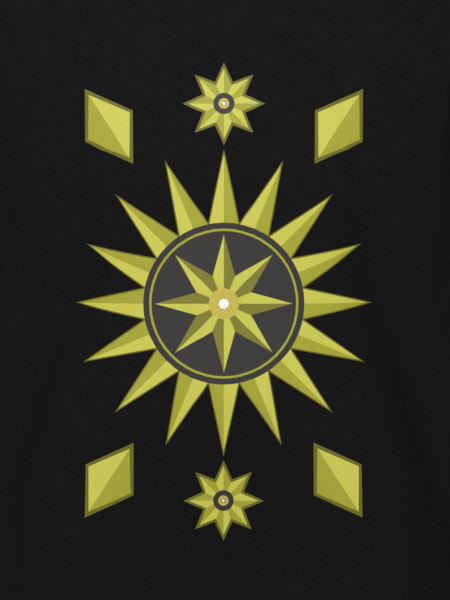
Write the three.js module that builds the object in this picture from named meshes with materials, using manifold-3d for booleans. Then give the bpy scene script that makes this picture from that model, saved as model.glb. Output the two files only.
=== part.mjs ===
// A short-sleeved crew-neck T-shirt, in the shape it takes on a wearer, with nobody inside it.
// Millimetres. +Z is up, -Y is the front and +X is the wearer's left. The origin is the middle of the
// line between the two high shoulder points, where the shoulders carry the shirt.
import * as THREE from "three";
import { mergeVertices } from "three/addons/utils/BufferGeometryUtils.js";
import Module from "manifold-3d";

const wasm = await Module();
wasm.setup();

// Driving dimensions of the garment.
const BODY_LENGTH = 720; // high shoulder point down to the hem
const SHOULDER_HALF = 224; // middle of the neck to the sleeve seam
const SHOULDER_DROP = 45; // fall of the shoulder seam from the neck to the sleeve
const NECK_HALF = 88; // half the width of the neck seam
const FRONT_NECK_DROP = 82;
const BACK_NECK_DROP = 16;
const ARMPIT_Z = -238;
const FABRIC = 0.8; // single jersey
const HEM_HEIGHT = 22; // turned-up band at the hem and at each sleeve end
const SEAM_GAP = 1; // clear space left along a seam between two pieces of cloth
const RIB_HEIGHT = 20;
const RIB_THICKNESS = 2; // the rib band is folded double
const TAPE_WIDTH = 13;
const THREAD = 0.7;
const THREAD_GAP = 0.8; // clear space under a row of stitches
const NEEDLE_SPACING = 6; // between the two rows of a twin-needle seam
const UPPER_NEEDLE = HEM_HEIGHT - 2; // above the hem's edge
const LOWER_NEEDLE = UPPER_NEEDLE - NEEDLE_SPACING;

// Driving dimensions of the print.
const PRINT_WIDTH = 260;
const PRINT_TOP_Z = -166;
const PRINT_BOTTOM_Z = -572;
const INK = 0.25; // thickness of one colour of ink
const INK_GAP = 0.3; // clear space under each colour

const HEM_Z = -BODY_LENGTH;
const TIP_Z = -SHOULDER_DROP;
const COTTON = { color: 0x17171a, roughness: 0.95, metalness: 0 };
const RIB_COTTON = { color: 0x141416, roughness: 0.95, metalness: 0 };
const THREAD_BLACK = { color: 0x1e1e21, roughness: 0.7, metalness: 0 };
const INKS = {
  outline: { color: 0x6b691f, roughness: 0.6, metalness: 0 },
  dark: { color: 0x807d30, roughness: 0.6, metalness: 0 },
  middle: { color: 0xa5a234, roughness: 0.6, metalness: 0 },
  light: { color: 0xc9c653, roughness: 0.6, metalness: 0 },
  ochre: { color: 0xc8b450, roughness: 0.6, metalness: 0 },
  charcoal: { color: 0x3e3d3b, roughness: 0.5, metalness: 0 },
  white: { color: 0xf4f4f0, roughness: 0.6, metalness: 0 },
};

// A smooth curve through [position, value] stations.
function through(list) {
  const last = list.length - 1;
  const slopes = list.map((_, i) => {
    const before = list[Math.max(i - 1, 0)];
    const after = list[Math.min(i + 1, last)];
    return (after[1] - before[1]) / (after[0] - before[0]);
  });
  return (position) => {
    const at = THREE.MathUtils.clamp(position, list[0][0], list[last][0]);
    let i = 0;
    while (i < last - 1 && at > list[i + 1][0]) i++;
    const span = list[i + 1][0] - list[i][0];
    const t = (at - list[i][0]) / span;
    const rise = t * t * (3 - 2 * t);
    return (
      list[i][1] * (1 - rise) +
      list[i + 1][1] * rise +
      span * t * (1 - t) * (slopes[i] * (1 - t) - slopes[i + 1] * t)
    );
  };
}

// The torso is a tube whose level cuts are superellipses, closed over the shoulders by a round cap.
const ROUNDNESS = 2.4;
const FRONT_CAP_HEIGHT = 250;
const BACK_CAP_HEIGHT = 150;
const clothSide = through([
  [HEM_Z, 229], [-560, 222], [-420, 215], [-300, 213], [ARMPIT_Z, 214],
  [-200, 206], [-150, 200], [-100, 205], [TIP_Z, SHOULDER_HALF], [0, SHOULDER_HALF],
]);
const formSide = through([
  [HEM_Z, 229], [-560, 222], [-420, 215], [-300, 213], [ARMPIT_Z, 214],
  [-200, 224], [-150, 233], [-100, 240], [TIP_Z, 246], [0, 248],
]);
const frontDepth = through([[HEM_Z, 92], [-560, 95], [-400, 106], [-270, 116], [-150, 104], [0, 76]]);
const backDepth = through([[HEM_Z, 98], [-560, 90], [-430, 88], [-240, 110], [-120, 104], [0, 82]]);
const shoulderLine = through([
  [0, 3], [50, 2.5], [NECK_HALF, 0], [150, -19], [SHOULDER_HALF, TIP_Z], [260, -62],
]);

// Long soft folds that hang from the chest and the shoulder blades: each has its place around the body
// at the top and at the hem, in degrees from the middle of the front, its width, and its height.
const FOLD_TOP_Z = -215;
const FOLDS = [
  { top: 20, hem: 38, width: 9, height: 7 },
  { top: 33, hem: 60, width: 10, height: -15 },
  { top: 66, hem: 80, width: 9, height: 9 },
  { top: 108, hem: 104, width: 9, height: 9 },
  { top: 124, hem: 128, width: 10, height: -13 },
  { top: 146, hem: 152, width: 10, height: 9 },
  { top: 176, hem: 184, width: 11, height: -9 },
];

function foldHeight(degrees, z) {
  const down = THREE.MathUtils.clamp((FOLD_TOP_Z - z) / (FOLD_TOP_Z - HEM_Z), 0, 1);
  const grown = Math.sin((down * Math.PI) / 2) ** 1.3;
  return FOLDS.reduce((sum, fold) => {
    const place = fold.top + (fold.hem - fold.top) * down;
    return sum + fold.height * grown * Math.exp(-(((Math.abs(degrees) - place) / fold.width) ** 2));
  }, 0);
}

// A point of the torso's outer face. side is -1 on the front and 1 on the back.
function torsoPoint(side, x, z) {
  const reach = Math.min(Math.abs(x) / formSide(z), 1);
  const level = (1 - reach ** ROUNDNESS) ** (1 / ROUNDNESS);
  const capHeight = side < 0 ? FRONT_CAP_HEIGHT : BACK_CAP_HEIGHT;
  const under = THREE.MathUtils.clamp((shoulderLine(Math.abs(x)) - z) / capHeight, 0, 1);
  const cap = Math.sqrt(1 - (1 - under) ** 2);
  const depth = (side < 0 ? frontDepth(z) : backDepth(z)) * level * cap;
  const turned = THREE.MathUtils.radToDeg(Math.asin(reach ** (ROUNDNESS / 2)));
  const fold = foldHeight(side < 0 ? turned : 180 - turned, z);
  const out = new THREE.Vector2(x / formSide(z) ** 2, (side * depth) / frontDepth(z) ** 2).normalize();
  return new THREE.Vector3(x + out.x * fold, side * (depth + SEAM_GAP / 2) + out.y * fold, z);
}

// The neck seam, from 0 at the middle of the front or back to a right angle at the high shoulder point.
// grow moves it out over the body.
function neckSeam(side, angle, grow = 0) {
  const drop = side < 0 ? FRONT_NECK_DROP : BACK_NECK_DROP;
  return { x: (NECK_HALF + grow) * Math.sin(angle), z: -(drop + grow) * Math.cos(angle) };
}

// Each body panel is a grid of rows and columns. Its columns start on the neck seam and the shoulder
// seam, crowded where the neck seam is steep, and spread out evenly round the body lower down.
const NECK_COLUMNS = 8;
const SHOULDER_COLUMNS = 7;
const HALF_COLUMNS = NECK_COLUMNS + SHOULDER_COLUMNS;
const BODY_ROWS = 8; // from the hem band up to the armpit
const ARMHOLE_ROWS = 8; // from the armpit up to the shoulder seam
const HEM_LEVELS = [0, LOWER_NEEDLE, HEM_HEIGHT];
const neckAngle = (k) => (Math.PI / 2) * (1 - (1 - k / NECK_COLUMNS) ** 2);

function columnTop(side, k) {
  if (k <= NECK_COLUMNS) return neckSeam(side, neckAngle(k));
  const x = NECK_HALF + ((SHOULDER_HALF - NECK_HALF) * (k - NECK_COLUMNS)) / SHOULDER_COLUMNS;
  return { x, z: shoulderLine(x) };
}

// How far up the armhole each row is, from 0 at the armpit to 1 at the shoulder seam.
const armholeStep = (row) => (1 - Math.cos((row * Math.PI) / ARMHOLE_ROWS)) / 2;

function panelColumn(side, column) {
  const k = Math.abs(column);
  const top = columnTop(side, k);
  const spread = Math.sin((k * Math.PI) / 2 / HALF_COLUMNS) ** (2 / ROUNDNESS);
  const place = (z, rise) => {
    const share = THREE.MathUtils.lerp(spread, top.x / clothSide(top.z), rise);
    return torsoPoint(side, Math.sign(column) * share * clothSide(z), z);
  };
  const levels = HEM_LEVELS.map((level) => HEM_Z + level);
  const bodyStep = (ARMPIT_Z - HEM_Z - HEM_HEIGHT) / BODY_ROWS;
  for (let row = 1; row <= BODY_ROWS; row++) levels.push(HEM_Z + HEM_HEIGHT + row * bodyStep);
  const points = levels.map((z) => place(z, 0));
  for (let row = 1; row <= ARMHOLE_ROWS; row++) {
    const rise = armholeStep(row);
    points.push(place(THREE.MathUtils.lerp(ARMPIT_Z, top.z, rise), rise));
  }
  return points;
}

// The unit normals of a grid of points, taken from each point's neighbours.
function gridNormals(points, wraps) {
  const last = points[0].length - 1;
  return points.map((row, i) =>
    row.map((_, j) => {
      const above = points[Math.min(i + 1, points.length - 1)][j];
      const below = points[Math.max(i - 1, 0)][j];
      const right = row[wraps ? (j + 1) % (last + 1) : Math.min(j + 1, last)];
      const left = row[wraps ? (j + last) % (last + 1) : Math.max(j - 1, 0)];
      return right.clone().sub(left).cross(above.clone().sub(below)).normalize();
    }),
  );
}

function moved(points, normals, distance) {
  return points.map((row, i) =>
    row.map((point, j) => point.clone().addScaledVector(normals[i][j], distance(i, j))),
  );
}

// A closed body between two grids of points with the same rows and columns. wraps joins the last
// column to the first.
function slab(outer, inner, wraps = false) {
  const rows = outer.length;
  const columns = outer[0].length;
  const position = [...outer.flat(), ...inner.flat()].flatMap((p) => [p.x, p.y, p.z]);
  const at = (layer, i, j) => layer * rows * columns + i * columns + (j % columns);
  const index = [];
  const quad = (a, b, c, d) => index.push(a, b, c, a, c, d);
  const steps = wraps ? columns : columns - 1;
  for (let j = 0; j < steps; j++) {
    for (let i = 0; i < rows - 1; i++) {
      quad(at(0, i, j), at(0, i, j + 1), at(0, i + 1, j + 1), at(0, i + 1, j));
      quad(at(1, i, j), at(1, i + 1, j), at(1, i + 1, j + 1), at(1, i, j + 1));
    }
    quad(at(0, 0, j + 1), at(0, 0, j), at(1, 0, j), at(1, 0, j + 1));
    quad(at(0, rows - 1, j), at(0, rows - 1, j + 1), at(1, rows - 1, j + 1), at(1, rows - 1, j));
  }
  for (let i = 0; i < rows - 1 && !wraps; i++) {
    quad(at(0, i, 0), at(0, i + 1, 0), at(1, i + 1, 0), at(1, i, 0));
    quad(at(0, i + 1, steps), at(0, i, steps), at(1, i, steps), at(1, i + 1, steps));
  }
  const geometry = new THREE.BufferGeometry();
  geometry.setAttribute("position", new THREE.Float32BufferAttribute(position, 3));
  geometry.setIndex(index);
  return facingOut(geometry);
}

// Turns the faces round if the body's volume comes out negative.
function facingOut(geometry) {
  const position = geometry.getAttribute("position");
  const index = Array.from(geometry.index.array);
  const [a, b, c] = [new THREE.Vector3(), new THREE.Vector3(), new THREE.Vector3()];
  let volume = 0;
  for (let i = 0; i < index.length; i += 3) {
    a.fromBufferAttribute(position, index[i]);
    b.fromBufferAttribute(position, index[i + 1]);
    c.fromBufferAttribute(position, index[i + 2]);
    volume += a.dot(b.cross(c));
  }
  if (volume < 0) geometry.setIndex(index.reverse());
  return geometry;
}

const shirt = new THREE.Group();

function add(name, geometry, finish) {
  const mesh = new THREE.Mesh(geometry, new THREE.MeshStandardMaterial(finish));
  mesh.name = name;
  geometry.computeVertexNormals();
  shirt.add(mesh);
}

// Front and back body panels. The turned-up hem makes their lowest band double.
function torsoGrid(side) {
  const columns = [];
  for (let column = -HALF_COLUMNS; column <= HALF_COLUMNS; column++) columns.push(panelColumn(side, column));
  return columns[0].map((_, row) => columns.map((points) => points[row]));
}

const bodyGrids = {};
for (const [name, side] of [["front_panel", -1], ["back_panel", 1]]) {
  const points = torsoGrid(side);
  const normals = gridNormals(points, false).map((row) => row.map((n) => n.multiplyScalar(-side)));
  bodyGrids[name] = { points, normals, side };
  const thickness = (row) => (row < HEM_LEVELS.length ? 2 * FABRIC : FABRIC);
  add(name, slab(points, moved(points, normals, (i) => -thickness(i))), COTTON);
}

// Sleeves: each runs from the armhole seam to an oval end, and leaves the shoulder along its slope.
const ARMHOLE_COLUMNS = 2 * ARMHOLE_ROWS;
const SLEEVE_ROWS = [0, 0.12, 0.26, 0.42, 0.58, 0.74, 0.9, 1];
const SLEEVE_END_TOP = new THREE.Vector3(352, 0, -222);
const SLEEVE_END_UNDER = new THREE.Vector3(250, 0, -300);
const SLEEVE_END_DEPTH = 46; // half the opening from front to back
const SHOULDER_SLOPE = new THREE.Vector3(0.93, 0, -0.36);
const UNDERARM_SLOPE = new THREE.Vector3(0.4, 0, -0.92);
const UNDERARM_GAP = new THREE.Vector3(3, 0, 1); // keeps the sleeve off the side of the body
const SLEEVE_EASE = 110; // how strongly the cloth keeps its direction at each end
const SLEEVE_FLARE = 0.25; // how much the front and back of the sleeve spread apart at the armhole

// The points of the armhole seam, from the shoulder down the front, under the arm and up the back.
function armholePoint(column) {
  const front = column <= ARMHOLE_ROWS;
  const k = front ? ARMHOLE_ROWS - column : column - ARMHOLE_ROWS;
  const z = ARMPIT_Z + (TIP_Z - ARMPIT_Z) * armholeStep(k);
  return torsoPoint(front ? -1 : 1, clothSide(z), z);
}

function sleeveGrid() {
  const middle = SLEEVE_END_TOP.clone().add(SLEEVE_END_UNDER).multiplyScalar(0.5);
  const half = SLEEVE_END_TOP.clone().sub(middle);
  const along = new THREE.Vector3(-half.z, 0, half.x).normalize().negate();
  return SLEEVE_ROWS.map((t) =>
    Array.from({ length: ARMHOLE_COLUMNS }, (_, column) => {
      const turn = (column * 2 * Math.PI) / ARMHOLE_COLUMNS;
      const under = (1 - Math.cos(turn)) / 2;
      const leave = SHOULDER_SLOPE.clone().lerp(UNDERARM_SLOPE, under);
      leave.y = -SLEEVE_FLARE * Math.sin(turn);
      leave.normalize();
      const gap = SHOULDER_SLOPE.clone().multiplyScalar(SEAM_GAP).lerp(UNDERARM_GAP, under);
      const start = armholePoint(column).add(gap);
      const end = middle.clone().addScaledVector(half, Math.cos(turn));
      end.y = -SLEEVE_END_DEPTH * Math.sin(turn);
      const rise = t * t * (3 - 2 * t);
      return start
        .lerp(end, rise)
        .addScaledVector(leave, SLEEVE_EASE * t * (1 - t) ** 2)
        .addScaledVector(along, -SLEEVE_EASE * t * t * (1 - t));
    }),
  );
}

const mirrored = (points) => points.map((row) => row.map((p) => new THREE.Vector3(-p.x, p.y, p.z)));
const sleevePoints = sleeveGrid();
const sleeveNormals = gridNormals(sleevePoints, true);
const sleeveOut = sleeveNormals[4][0].x > 0 ? 1 : -1;
const sleeveThickness = (row) => (row >= SLEEVE_ROWS.length - 2 ? 2 * FABRIC : FABRIC);
const sleeveInner = moved(sleevePoints, sleeveNormals, (i) => -sleeveOut * sleeveThickness(i));
add("sleeve_left", slab(sleevePoints, sleeveInner, true), COTTON);
add("sleeve_right", slab(mirrored(sleevePoints), mirrored(sleeveInner), true), COTTON);

// The rib band stands on the neck seam and leans in towards the neck. Its places run from the middle of
// the back round the left shoulder to the front, and on round the right one.
const NECK_PLACES = [];
for (let k = 0; k < 4 * NECK_COLUMNS; k++) {
  const front = k > NECK_COLUMNS && k < 3 * NECK_COLUMNS;
  const fromMiddle = front ? Math.abs(2 * NECK_COLUMNS - k) : Math.min(k, 4 * NECK_COLUMNS - k);
  const hand = k < 2 * NECK_COLUMNS ? 1 : -1;
  NECK_PLACES.push({ side: front ? -1 : 1, angle: neckAngle(fromMiddle), hand });
}

const FRONT_LEAN = 0.62; // how far the band leans in for each millimetre that it stands up
const BACK_LEAN = 0.22;
const SIDE_LEAN = 0.55;
// Its section as [height, thickness] in shares of the whole, from the inner foot over the folded edge.
const RIB_SECTION = [[0, -0.5], [0, 0.5], [0.5, 0.6], [0.93, 0.5], [1, 0], [0.93, -0.5], [0.5, -0.6]];
const RIB_SET_IN = 0.2; // the band stands slightly inside the neck seam

function neckRib() {
  const rings = NECK_PLACES.map(({ side, angle, hand }) => {
    const { x, z } = neckSeam(side, angle);
    const foot = torsoPoint(side, hand * x, z);
    const [sideways, forward] = [hand * Math.sin(angle), Math.cos(angle)];
    const lean = (side < 0 ? FRONT_LEAN : -BACK_LEAN) * forward;
    const up = new THREE.Vector3(-SIDE_LEAN * sideways, lean, 1).normalize();
    const away = new THREE.Vector3(sideways, side * forward, 0).normalize();
    const face = away.addScaledVector(up, -away.dot(up)).normalize();
    foot.addScaledVector(up, SEAM_GAP);
    return RIB_SECTION.map(([high, thick]) => {
      const middle = foot.clone().addScaledVector(up, high * RIB_HEIGHT);
      return middle.addScaledVector(face, (thick - RIB_SET_IN) * RIB_THICKNESS);
    });
  });
  return tubeOf(RIB_SECTION.map((_, k) => rings.map((ring) => ring[k])));
}

// A closed ring whose section is a loop of points: loops[k][j] is section point k at place j.
function tubeOf(loops) {
  const sides = loops.length;
  const places = loops[0].length;
  const position = loops.flat().flatMap((p) => [p.x, p.y, p.z]);
  const index = [];
  for (let k = 0; k < sides; k++) {
    for (let j = 0; j < places; j++) {
      const [a, b] = [k * places + j, k * places + ((j + 1) % places)];
      const [c, d] = [((k + 1) % sides) * places + ((j + 1) % places), ((k + 1) % sides) * places + j];
      index.push(a, b, c, a, c, d);
    }
  }
  const geometry = new THREE.BufferGeometry();
  geometry.setAttribute("position", new THREE.Float32BufferAttribute(position, 3));
  geometry.setIndex(index);
  return facingOut(geometry);
}

add("neck_rib", neckRib(), RIB_COTTON);

// A row of stitches is a slim closed thread on the cloth's outer face.
function threadRing(name, pointAt, count) {
  const half = THREAD / 2;
  const [low, high] = [THREAD_GAP, THREAD_GAP + THREAD];
  const section = [[-half, low], [half, low], [half, high], [-half, high]];
  const loop = (shift, off) => Array.from({ length: count }, (_, j) => pointAt(j, shift, off));
  add(name, tubeOf(section.map(([shift, off]) => loop(shift, off))), THREAD_BLACK);
}

// Places in a ring round the hem: the front columns from one side seam to the other, then the back ones.
const COLUMNS = 2 * HALF_COLUMNS + 1;
const HEM_RING = [];
for (let j = 0; j < COLUMNS; j++) HEM_RING.push({ panel: bodyGrids.front_panel, j });
for (let j = COLUMNS - 1; j >= 0; j--) HEM_RING.push({ panel: bodyGrids.back_panel, j });

function hemPoint(height) {
  return (place, shift, off) => {
    const { panel, j } = HEM_RING[place];
    const t = (height + shift - LOWER_NEEDLE) / (HEM_HEIGHT - LOWER_NEEDLE);
    const normal = panel.normals[1][j].clone().lerp(panel.normals[2][j], t).normalize();
    return panel.points[1][j].clone().lerp(panel.points[2][j], t).addScaledVector(normal, off);
  };
}

// The same on a sleeve, whose last two rows are the ends of its turned-up band.
function sleeveEndPoint(share, mirror) {
  return (place, shift, off) => {
    const [inside, end] = [SLEEVE_ROWS.length - 2, SLEEVE_ROWS.length - 1];
    const normal = sleeveNormals[inside][place].clone().lerp(sleeveNormals[end][place], share);
    const along = share + shift / HEM_HEIGHT;
    const point = sleevePoints[inside][place].clone().lerp(sleevePoints[end][place], along);
    point.addScaledVector(normal.normalize(), sleeveOut * off);
    if (mirror) point.x = -point.x;
    return point;
  };
}

threadRing("hem_stitch_lower", hemPoint(LOWER_NEEDLE), HEM_RING.length);
threadRing("hem_stitch_upper", hemPoint(UPPER_NEEDLE), HEM_RING.length);
for (const [side, mirror] of [["left", false], ["right", true]]) {
  threadRing(`sleeve_${side}_stitch_inner`, sleeveEndPoint(0.15, mirror), ARMHOLE_COLUMNS);
  threadRing(`sleeve_${side}_stitch_outer`, sleeveEndPoint(0.45, mirror), ARMHOLE_COLUMNS);
}

// A closed geometry as a solid for cutting, and a solid back as a geometry.
function solidOf(geometry) {
  const bare = new THREE.BufferGeometry();
  bare.setAttribute("position", geometry.getAttribute("position"));
  bare.setIndex(geometry.index);
  const merged = mergeVertices(bare, 1e-4);
  return new wasm.Manifold(
    new wasm.Mesh({
      numProp: 3,
      vertProperties: merged.getAttribute("position").array,
      triVerts: new Uint32Array(merged.index.array),
    }),
  );
}

function geometryOf(solid) {
  const mesh = solid.getMesh();
  const geometry = new THREE.BufferGeometry();
  geometry.setAttribute("position", new THREE.BufferAttribute(mesh.vertProperties, 3));
  geometry.setIndex(Array.from(mesh.triVerts));
  return geometry;
}

// A layer that follows a body panel, from foot to foot + thickness off its outer face. It is cut to an
// outline, which is drawn in the XZ plane and pushed through the front or the back of the shirt.
function onPanel(name, panel, outline, foot, thickness, finish) {
  const { points, normals, side } = bodyGrids[panel];
  const film = slab(moved(points, normals, () => foot + thickness), moved(points, normals, () => foot));
  const prism = new THREE.ExtrudeGeometry(outline, { depth: 200, bevelEnabled: false, curveSegments: 8 });
  prism.rotateX((-side * Math.PI) / 2);
  if (side > 0) prism.scale(1, 1, -1);
  prism.deleteAttribute("normal");
  prism.deleteAttribute("uv");
  const cutter = facingOut(mergeVertices(prism, 1e-4));
  add(name, geometryOf(solidOf(film).intersect(solidOf(cutter))), finish);
}

// A band along the neck seam between two distances below it, closed off above the shoulders.
function neckBand(side, near, far) {
  const steps = 10;
  const curve = (below) => {
    const places = Array.from({ length: steps + 1 }, (_, k) => (k * Math.PI) / 2 / steps);
    const half = places.map((angle) => neckSeam(side, angle, below));
    const right = half.map(({ x, z }) => new THREE.Vector2(x, z));
    const left = half.slice(1).reverse().map(({ x, z }) => new THREE.Vector2(-x, z));
    const [end, above] = [half[steps].x, 40];
    return [new THREE.Vector2(-end, above), ...left, ...right, new THREE.Vector2(end, above)];
  };
  return new THREE.Shape([...curve(far), ...curve(near).reverse()]);
}

const THREAD_ON_NECK = 4.5; // below the neck seam
for (const [name, side] of [["front", -1], ["back", 1]]) {
  const band = neckBand(side, THREAD_ON_NECK, THREAD_ON_NECK + THREAD);
  onPanel(`neck_stitch_${name}`, `${name}_panel`, band, THREAD_GAP, THREAD, THREAD_BLACK);
}

// Inside the back neck, tape covers the seam and a bare label hangs from it.
const TAPE_GAP = 0.6;
const tapeFoot = -(FABRIC + TAPE_GAP + FABRIC);
onPanel("neck_tape", "back_panel", neckBand(1, 1, 1 + TAPE_WIDTH), tapeFoot, FABRIC, RIB_COTTON);

const LABEL_WIDTH = 46;
const LABEL_TOP_Z = -BACK_NECK_DROP - 6;
const LABEL_BOTTOM_Z = -BACK_NECK_DROP - 40;
const labelOutline = new THREE.Shape([
  new THREE.Vector2(-LABEL_WIDTH / 2, LABEL_BOTTOM_Z),
  new THREE.Vector2(LABEL_WIDTH / 2, LABEL_BOTTOM_Z),
  new THREE.Vector2(LABEL_WIDTH / 2, LABEL_TOP_Z),
  new THREE.Vector2(-LABEL_WIDTH / 2, LABEL_TOP_Z),
]);
onPanel("neck_label", "back_panel", labelOutline, tapeFoot - TAPE_GAP - 0.4, 0.4, RIB_COTTON);

// The print is ink on the front panel. Each colour is a film of its own that follows the cloth.
function ink(name, outline, layer, finish) {
  onPanel(name, "front_panel", outline, INK_GAP + layer * (INK + INK_GAP), INK, finish);
}

// A star outline: points long at one radius, valleys at another, the first point turned by a share of a
// step. half keeps one half of every point, down to the hub.
function starShape({ z, points, reach, valley, turn }, { grow = 0, half = false, hub = 0 } = {}) {
  const step = (2 * Math.PI) / points;
  const place = (radius, angle) => new THREE.Vector2(radius * Math.sin(angle), z + radius * Math.cos(angle));
  const outline = [];
  for (let k = 0; k < points; k++) {
    const angle = (k + turn) * step;
    outline.push(place(half ? hub : valley + grow, angle - step / 2));
    if (half) outline.push(place(valley, angle - step / 2));
    outline.push(place(reach + (grow ? TIP_GROWTH : 0), angle));
    if (half) outline.push(place(hub, angle));
  }
  return new THREE.Shape(outline.reverse());
}

// A diamond whose long axis points away from the print's middle, set in by an amount. split keeps its
// lower half.
function diamondShape({ angle, radius, halfLength, halfWidth }, { inset = 0, split = false } = {}) {
  const along = new THREE.Vector2(Math.sin(angle), Math.cos(angle));
  const across = new THREE.Vector2(-along.y, along.x).multiplyScalar(along.x < 0 ? -1 : 1);
  const middle = along.clone().multiplyScalar(radius).add(new THREE.Vector2(0, PRINT_MIDDLE_Z));
  const [long, short] = [halfLength - 2 * inset, halfWidth - inset];
  const corner = (a, b) => middle.clone().addScaledVector(along, a * long).addScaledVector(across, b * short);
  const outline = [corner(1, 0), corner(0, 1), corner(-1, 0)];
  if (!split) outline.push(corner(0, -1));
  return new THREE.Shape(outline);
}

function disc(z, radius, hole = 0) {
  const shape = new THREE.Shape().absarc(0, z, radius, 0, 2 * Math.PI, false);
  if (hole) shape.holes.push(new THREE.Path().absarc(0, z, hole, 0, 2 * Math.PI, true));
  return shape;
}

// A large compass star has a small one above it and one below.
const PRINT_MIDDLE_Z = (PRINT_TOP_Z + PRINT_BOTTOM_Z) / 2;
const OUTLINE = 3; // dark rim round each star
const TIP_GROWTH = 1.6 * OUTLINE; // the rim is longer at the tips
const LARGE_REACH = PRINT_WIDTH / 2 - TIP_GROWTH;
const STAR_GAP = 3;
const SMALL_REACH = (PRINT_TOP_Z - PRINT_BOTTOM_Z - PRINT_WIDTH - 2 * STAR_GAP) / 4 - TIP_GROWTH;
const SMALL_STEP = (PRINT_TOP_Z - PRINT_BOTTOM_Z) / 2 - SMALL_REACH - TIP_GROWTH;
const large = { points: 16, reach: LARGE_REACH, valley: 66, turn: 0, hub: 40, ground: 68, button: 13 };
const small = { points: 8, reach: SMALL_REACH, valley: 17, turn: 0, hub: 7, ground: 9, button: 4.5 };
const STARS = [
  { name: "centre", z: PRINT_MIDDLE_Z, ...large },
  { name: "top", z: PRINT_MIDDLE_Z + SMALL_STEP, ...small },
  { name: "bottom", z: PRINT_MIDDLE_Z - SMALL_STEP, ...small },
];
const INNER_STAR = { points: 8, reach: 58, valley: 25, turn: 0 }; // on the large star's ground
const RING_RADIUS = 63;
const RING_WIDTH = 2;
const BUTTON_GAP = 0.6;
const DIAMOND = { halfLength: 38, halfWidth: 24 };
const DIAMOND_RADIUS = 178; // from the print's middle
const DIAMOND_ANGLE = THREE.MathUtils.degToRad(33); // from the upright

for (const star of STARS) {
  ink(`print_${star.name}_outline`, starShape(star, { grow: OUTLINE }), 0, INKS.outline);
  ink(`print_${star.name}_middle`, starShape(star), 1, INKS.middle);
  ink(`print_${star.name}_light`, starShape(star, { half: true, hub: star.hub }), 2, INKS.light);
  ink(`print_${star.name}_charcoal`, disc(star.z, star.ground), 3, INKS.charcoal);
  const top = star.name === "centre" ? 6 : 4;
  ink(`print_${star.name}_ochre`, disc(star.z, star.button, star.button / 3 + BUTTON_GAP), top, INKS.ochre);
  ink(`print_${star.name}_white`, disc(star.z, star.button / 3), top, INKS.white);
}
const inner = { z: PRINT_MIDDLE_Z, ...INNER_STAR };
ink("print_centre_ring", disc(PRINT_MIDDLE_Z, RING_RADIUS, RING_RADIUS - RING_WIDTH), 4, INKS.middle);
ink("print_centre_inner_dark", starShape(inner), 4, INKS.dark);
ink("print_centre_inner_light", starShape(inner, { half: true, hub: 10 }), 5, INKS.light);

for (const [name, angle] of [
  ["top_left", DIAMOND_ANGLE],
  ["top_right", -DIAMOND_ANGLE],
  ["bottom_left", Math.PI - DIAMOND_ANGLE],
  ["bottom_right", Math.PI + DIAMOND_ANGLE],
]) {
  const diamond = { angle, radius: DIAMOND_RADIUS, ...DIAMOND };
  ink(`print_${name}_outline`, diamondShape(diamond), 0, INKS.outline);
  ink(`print_${name}_middle`, diamondShape(diamond, { inset: OUTLINE }), 1, INKS.middle);
  ink(`print_${name}_light`, diamondShape(diamond, { inset: OUTLINE, split: true }), 2, INKS.light);
}

export default shirt;
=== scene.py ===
# %% [markdown]
# # A black T-shirt with a printed front
#
# A real T-shirt is a few flat pieces of knitted cotton: a front, a back, two sleeves and a narrow ribbed
# collar. They are sewn together, turned up and stitched at the edges, and printed on the chest. This
# lesson goes the same way. It cuts the pieces, sews them, hangs them on a wearer's shape with a cloth
# simulation, presses the seams and hems, and then adds the collar, the stitches and the print.
#
# The first cell loads the construction model. The pieces made here take the place of its parts one by
# one. All lengths are in metres, +Z is up and -Y is the front.

# %% Load the construction model
import math

import bmesh
import bpy
import numpy as np
from mathutils import Matrix, Vector, noise
from mathutils.bvhtree import BVHTree
from mathutils.interpolate import poly_3d_calc


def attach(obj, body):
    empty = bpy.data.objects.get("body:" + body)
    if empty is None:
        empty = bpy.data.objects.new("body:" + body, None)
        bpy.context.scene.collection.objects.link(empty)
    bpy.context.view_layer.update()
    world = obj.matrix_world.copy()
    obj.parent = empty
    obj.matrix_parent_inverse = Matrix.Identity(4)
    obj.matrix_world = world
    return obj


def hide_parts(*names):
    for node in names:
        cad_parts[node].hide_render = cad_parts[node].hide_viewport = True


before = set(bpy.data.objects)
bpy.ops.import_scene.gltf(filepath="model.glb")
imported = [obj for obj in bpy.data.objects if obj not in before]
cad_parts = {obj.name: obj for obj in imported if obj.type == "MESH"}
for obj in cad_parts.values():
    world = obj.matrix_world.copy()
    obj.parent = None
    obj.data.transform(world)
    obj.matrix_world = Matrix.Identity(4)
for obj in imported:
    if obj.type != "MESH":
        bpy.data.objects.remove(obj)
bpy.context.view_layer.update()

# %% [markdown]
# ## The shape on the wearer
#
# Every piece hangs from one shape: a tube whose level cuts are rounded rectangles, closed over the
# shoulders. It could be sculpted, but a formula is easier to change, and pieces cut from it meet exactly
# along their seams. A few stations say how wide and deep the tube is, and a curve runs through them.

# %% Driving dimensions of the shirt
FRONT, BACK = -1, 1
BODY_LENGTH = 0.720  # high shoulder point down to the hem
SHOULDER_HALF = 0.224  # middle of the neck to the sleeve seam
SHOULDER_DROP = 0.045  # fall of the shoulder seam
NECK_HALF = 0.088  # half the width of the neck seam
NECK_DROPS = {FRONT: 0.082, BACK: 0.016}
ARMPIT_Z = -0.238
HEM_Z = -BODY_LENGTH
TIP_Z = -SHOULDER_DROP
FABRIC = 0.0008  # single jersey
HEM_FABRIC = 0.0018  # the turned-up hem is double
UPPER_NEEDLE, LOWER_NEEDLE = 0.020, 0.014  # rows of stitches above the hem's edge

# %% Smooth curves through a few stations


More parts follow.
